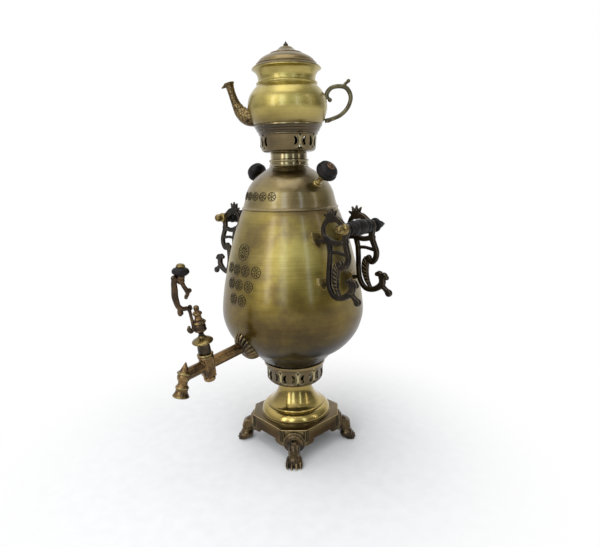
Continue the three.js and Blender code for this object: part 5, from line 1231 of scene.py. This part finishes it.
def made_bracket():
    """Openwork casting in the X-Z plane, its eye at the origin and the body towards -X, and its ridges."""
    rows = [flowing([(-x * INSET, 0, -z * DROP, w * INSET * BAR_GIRTH) for x, z, w in bar], 5)
            for bar in BRACKET_BARS]
    lumps = [wires("bars", rows, 4)]
    for row in rows:
        for x, y, z, w in (row[0], row[-1]):
            lumps.append(ball(x, y, z, w * 0.55))
    eye_line = [(2.7, -2.5), (5.8, -2.5), (6.6, -1.8), (6.6, 1.8), (5.8, 2.5), (2.7, 2.5), (2.7, -2.5)]
    lumps.append(turned("eye", eye_line, 40, 0.3, turn(90, "X")))
    for x, z, r in BRACKET_KNOTS:
        lumps.append(ball(-x * INSET, 0, -z * DROP, r))
    for start, share, half in ARMS:
        height, near, wall = -share * DROP, -start * INSET, wall_at(share)
        arm = flowing([(near, 0, height, half * 0.62), ((wall + near) / 2, 0, height, half * 0.7),
                       (wall - 1, 0, height - half * 0.2, half * 0.9)], 4)
        lumps.append(wires("arm", [arm]))
    bracket = flattened(melted("bracket", lumps, 0.5), BRACKET_HALF, EYE_REACH)
    ridges = []
    horn = rows[HORN]
    for k in range(4, len(horn) - 4, 2):
        x, y, z, w = horn[k]
        ahead = Vector(horn[k + 1][:3]) - Vector(horn[k - 1][:3])
        tilt = math.degrees(math.atan2(ahead.x, ahead.z)) + RIDGE_TILT
        ridges.append(put(ball(0, 0, 0, w * 0.56, 3.3, 0.8), shift(x, 0, z) @ turn(tilt, "Y")))
    return bracket, smooth(joined("ridges", ridges), 180)


def made_lugs(name, spot):
    """Pads on the body's skin where a bracket's two arms end."""
    pads = []
    for _, share, half in ARMS:
        pad_line = [(-PAD_WIDE, half * 0.9), (PAD_WIDE, half * 0.9), (PAD_WIDE, -half * 0.3),
                    (0, -half * 1.2), (-PAD_WIDE, -half * 0.3)]
        place = spot @ shift(wall_at(share) - 3, 0, -share * DROP) @ turn(90, "Z")
        pads.append(put(sawn("pad", pad_line, PAD_THICK), place))
    lugs = cut(joined("pads", pads), body_core(PAD_PROUD), "INTERSECT")
    applied(lugs, "BEVEL", width=0.6 * MM, segments=2, limit_method="ANGLE", angle_limit=math.radians(50))
    fitted(smooth(lugs, 40), "stand", "dark_bronze", fitting_brass)
    lugs.name = name
    lugs.data.name = name


grip_line = [(2.7, -21.1), (5.8, -21.1)] + flowing(
    [(7.2, -20.6), (7.8, -19.4), (7.6, -17.4), (6.2, -16.2), (6.4, -15.2), (8.4, -13.4), (9.2, -11),
     (8.7, -8.4), (8.5, -7.2), (9.3, -4.6), (9.7, 0), (9.3, 4.6), (8.5, 7.2), (8.7, 8.4), (9.2, 11),
     (8.4, 13.4), (6.4, 15.2), (6.2, 16.2), (7.6, 17.4), (7.8, 19.4), (7.2, 20.6)], 4) + [
    (5.8, 21.1), (2.7, 21.1), (2.7, -21.1)]
rod_line = [(0, -31.8), (2.4, -31.8), (2.4, 31.8), (0, 31.8)]
tip_line = [(2.7, 26.8), (5.4, 26.8)] + flowing(
    [(7.6, 27.2), (8.8, 28.6), (8.9, 30.6), (7.2, 32.6), (5.7, 34.2), (5.9, 35.6), (5.2, 37.6), (4, 39.4),
     (4.2, 40.8), (3.6, 42.6), (2.3, 45), (1.2, 47.6), (0, 48.8)], 4) + [
    (0, 31.9), (2.7, 31.9), (2.7, 26.8)]
nut_line = [(2.7, 26.8), (6.6, 26.8), (7, 27.4), (7, 30.2), (6.3, 31), (4.5, 31.8)] + flowing(
    [(4.4, 32.2), (5.4, 34), (5.9, 36), (5.2, 38.4), (3.2, 40.6), (0, 41.4)], 4) + [
    (0, 31.9), (2.7, 31.9), (2.7, 26.8)]

bracket, ridges = made_bracket()
for side, place in SIDES.items():
    hub = AXIS @ turn(place, "Z") @ shift(HUB_REACH, 0, HUB_HEIGHT)
    away = 1 if side == "right" else -1
    for end_name, way in (("far", away), ("near", -away)):
        copy = copied(bracket, f"bracket_casting_{side}_{end_name}")
        spot = hub @ shift(0, way * BRACKET_SPREAD, 0) @ turn(way * BRACKET_LEAN, "X")
        put(copy, spot)
        made_lugs(f"bracket_lugs_{side}_{end_name}", spot)
        smooth(cut(copy, body_core(0.5)), 60)
        copy = joined(copy.name, [copy, put(copied(ridges, "ridge_copy"), spot)])
        fitted(copy, "stand", "dark_bronze", bracket_bronze, f"bracket_{side}_{end_name}")
    along, across = hub @ turn(-90 * away, "X"), hub @ turn(90 * away, "X")
    wood = turned(f"grip_wood_{side}", grip_line, 64, 0.2, along)
    fitted(wood, "stand", "black_wood", lacquer, f"grip_{side}")
    rod = turned(f"grip_spindle_{side}", rod_line, 32, 0.3, along)
    fitted(rod, "stand", "polished_brass", fitting_brass, f"grip_rod_{side}")
    tip = turned(f"grip_tip_{side}", tip_line, 56, 0.2, along)
    fitted(tip, "stand", "black_wood", lacquer, f"grip_finial_{side}")
    nut = turned(f"grip_cap_{side}", nut_line, 40, 0.2, across)
    fitted(nut, "stand", "polished_brass", fitting_brass, f"grip_nut_{side}")
for model in (bracket, ridges):
    bpy.data.objects.remove(model)


# Studio

def floor_look():
    """Pale paper that turns to plain white away from the samovar, where it is seen or mirrored."""
    look = Finish("studio_floor")
    away = look.add("VectorMath", {0: look.place}, operation="LENGTH").outputs["Value"]
    far = look.mapped(away, 0.14, 0.42, 0.0, 1.0, "SMOOTHSTEP")
    speck = look.noise(look.place, 60.0, 3.0)
    look.done(look.ramp(speck, [(0.3, grey(0.86)), (0.7, grey(0.9))]), None, None, Roughness=0.8)
    white = look.add("Emission", {"Color": grey(1), "Strength": 1.0}).outputs[0]
    light = look.add("LightPath").outputs
    seen = look.math("MAXIMUM", light["Is Camera Ray"], light["Is Glossy Ray"])
    share = look.math("MULTIPLY", far, seen)
    both = look.add("MixShader", {0: share, 1: look.shader.outputs[0], 2: white}).outputs[0]
    look.tree.links.new(both, look.tree.nodes["Material Output"].inputs["Surface"])
    return look.material


deselect()
bpy.ops.mesh.primitive_plane_add(size=8)
floor = named("studio_floor")
floor.data.materials.append(floor_look())

ACROSS, AWAY = (0.678, 0.735, 0), (-0.735, 0.678, 0)
world = bpy.data.worlds.new("studio")
bpy.context.scene.world = world
world.use_nodes = True
sky = NodeTools(world.node_tree)
ray = sky.add("LightPath").outputs
toward = sky.add("TexCoord").outputs["Generated"]


def sky_share(axis, low, high, least, most):
    """How bright the room is in each direction, from one side of it to the other."""
    dot = sky.add("VectorMath", {0: toward, 1: axis}, operation="DOT_PRODUCT").outputs["Value"]
    return sky.mapped(dot, low, high, least, most, "SMOOTHSTEP")


behind = sky_share(AWAY, 0.1, 0.75, 0.0, 1.0)
overhead = sky_share((0, 0, 1), 0.05, 0.8, 0.42, 0.95)
sideways = sky_share(ACROSS, -0.5, 0.5, 1.3, 0.42)
room = sky.math("MULTIPLY", overhead, sideways)
mirrored = sky.math("MAXIMUM", ray["Is Glossy Ray"], ray["Is Transmission Ray"])
backdrop = sky.math("MAXIMUM", ray["Is Camera Ray"], sky.math("MULTIPLY", mirrored, behind))
back = world.node_tree.nodes["Background"]
back.inputs["Color"].default_value = grey(1)
world.node_tree.links.new(sky.math("MAXIMUM", backdrop, room), back.inputs["Strength"])

DAYLIGHT, SKYLIGHT, LAMPLIGHT = (0.97, 0.98, 1), (0.74, 0.87, 1), (1, 0.97, 0.92)


def softbox(name, place, aim, width, height, power, colour=(1, 1, 1)):
    deselect()
    bpy.ops.object.light_add(type="AREA", location=place)
    lamp = bpy.context.active_object
    lamp.name = name
    lamp.data.shape = "RECTANGLE"
    lamp.data.size = width
    lamp.data.size_y = height
    lamp.data.energy = power
    lamp.data.color = colour
    facing = Vector(place) - Vector(aim)
    lamp.rotation_euler = facing.to_track_quat("Z", "Y").to_euler()


MIDDLE = (0, 0.05, 0.35)
softbox("window_left", (0.2, -1.54, 0.9), MIDDLE, 0.3, 1.3, 5.5, DAYLIGHT)
softbox("window_near", (0.87, -1.29, 0.9), MIDDLE, 0.36, 1.3, 5, SKYLIGHT)
softbox("window_middle", (1.55, -0.34, 0.9), MIDDLE, 0.16, 1.3, 2.6, SKYLIGHT)
softbox("window_right", (1.5, 0.75, 0.9), (0, 0.05, 0.3), 0.16, 1.2, 1.6, LAMPLIGHT)
softbox("ceiling", (0.2, -0.2, 1.9), (0, 0.05, 0.2), 1.2, 1.2, 7.5)

VIEWPOINT = (0.51108, -0.40713, 0.403)
PITCH, ROLL = math.radians(12.21), math.radians(1.42)
deselect()
bpy.ops.object.camera_add(location=VIEWPOINT)
camera = bpy.context.active_object
camera.name = "view"
right = Vector(ACROSS)
forward = Vector(AWAY) * math.cos(PITCH) - Vector((0, 0, math.sin(PITCH)))
up = right.cross(forward)
across = right * math.cos(ROLL) - up * math.sin(ROLL)
above = right * math.sin(ROLL) + up * math.cos(ROLL)
camera.matrix_world = Matrix.Translation(VIEWPOINT) @ Matrix((across, above, -forward)).transposed().to_4x4()
camera.data.lens = 29.53
camera.data.sensor_width = 36
bpy.context.scene.camera = camera
bpy.context.scene.view_settings.view_transform = "Standard"

deselect()
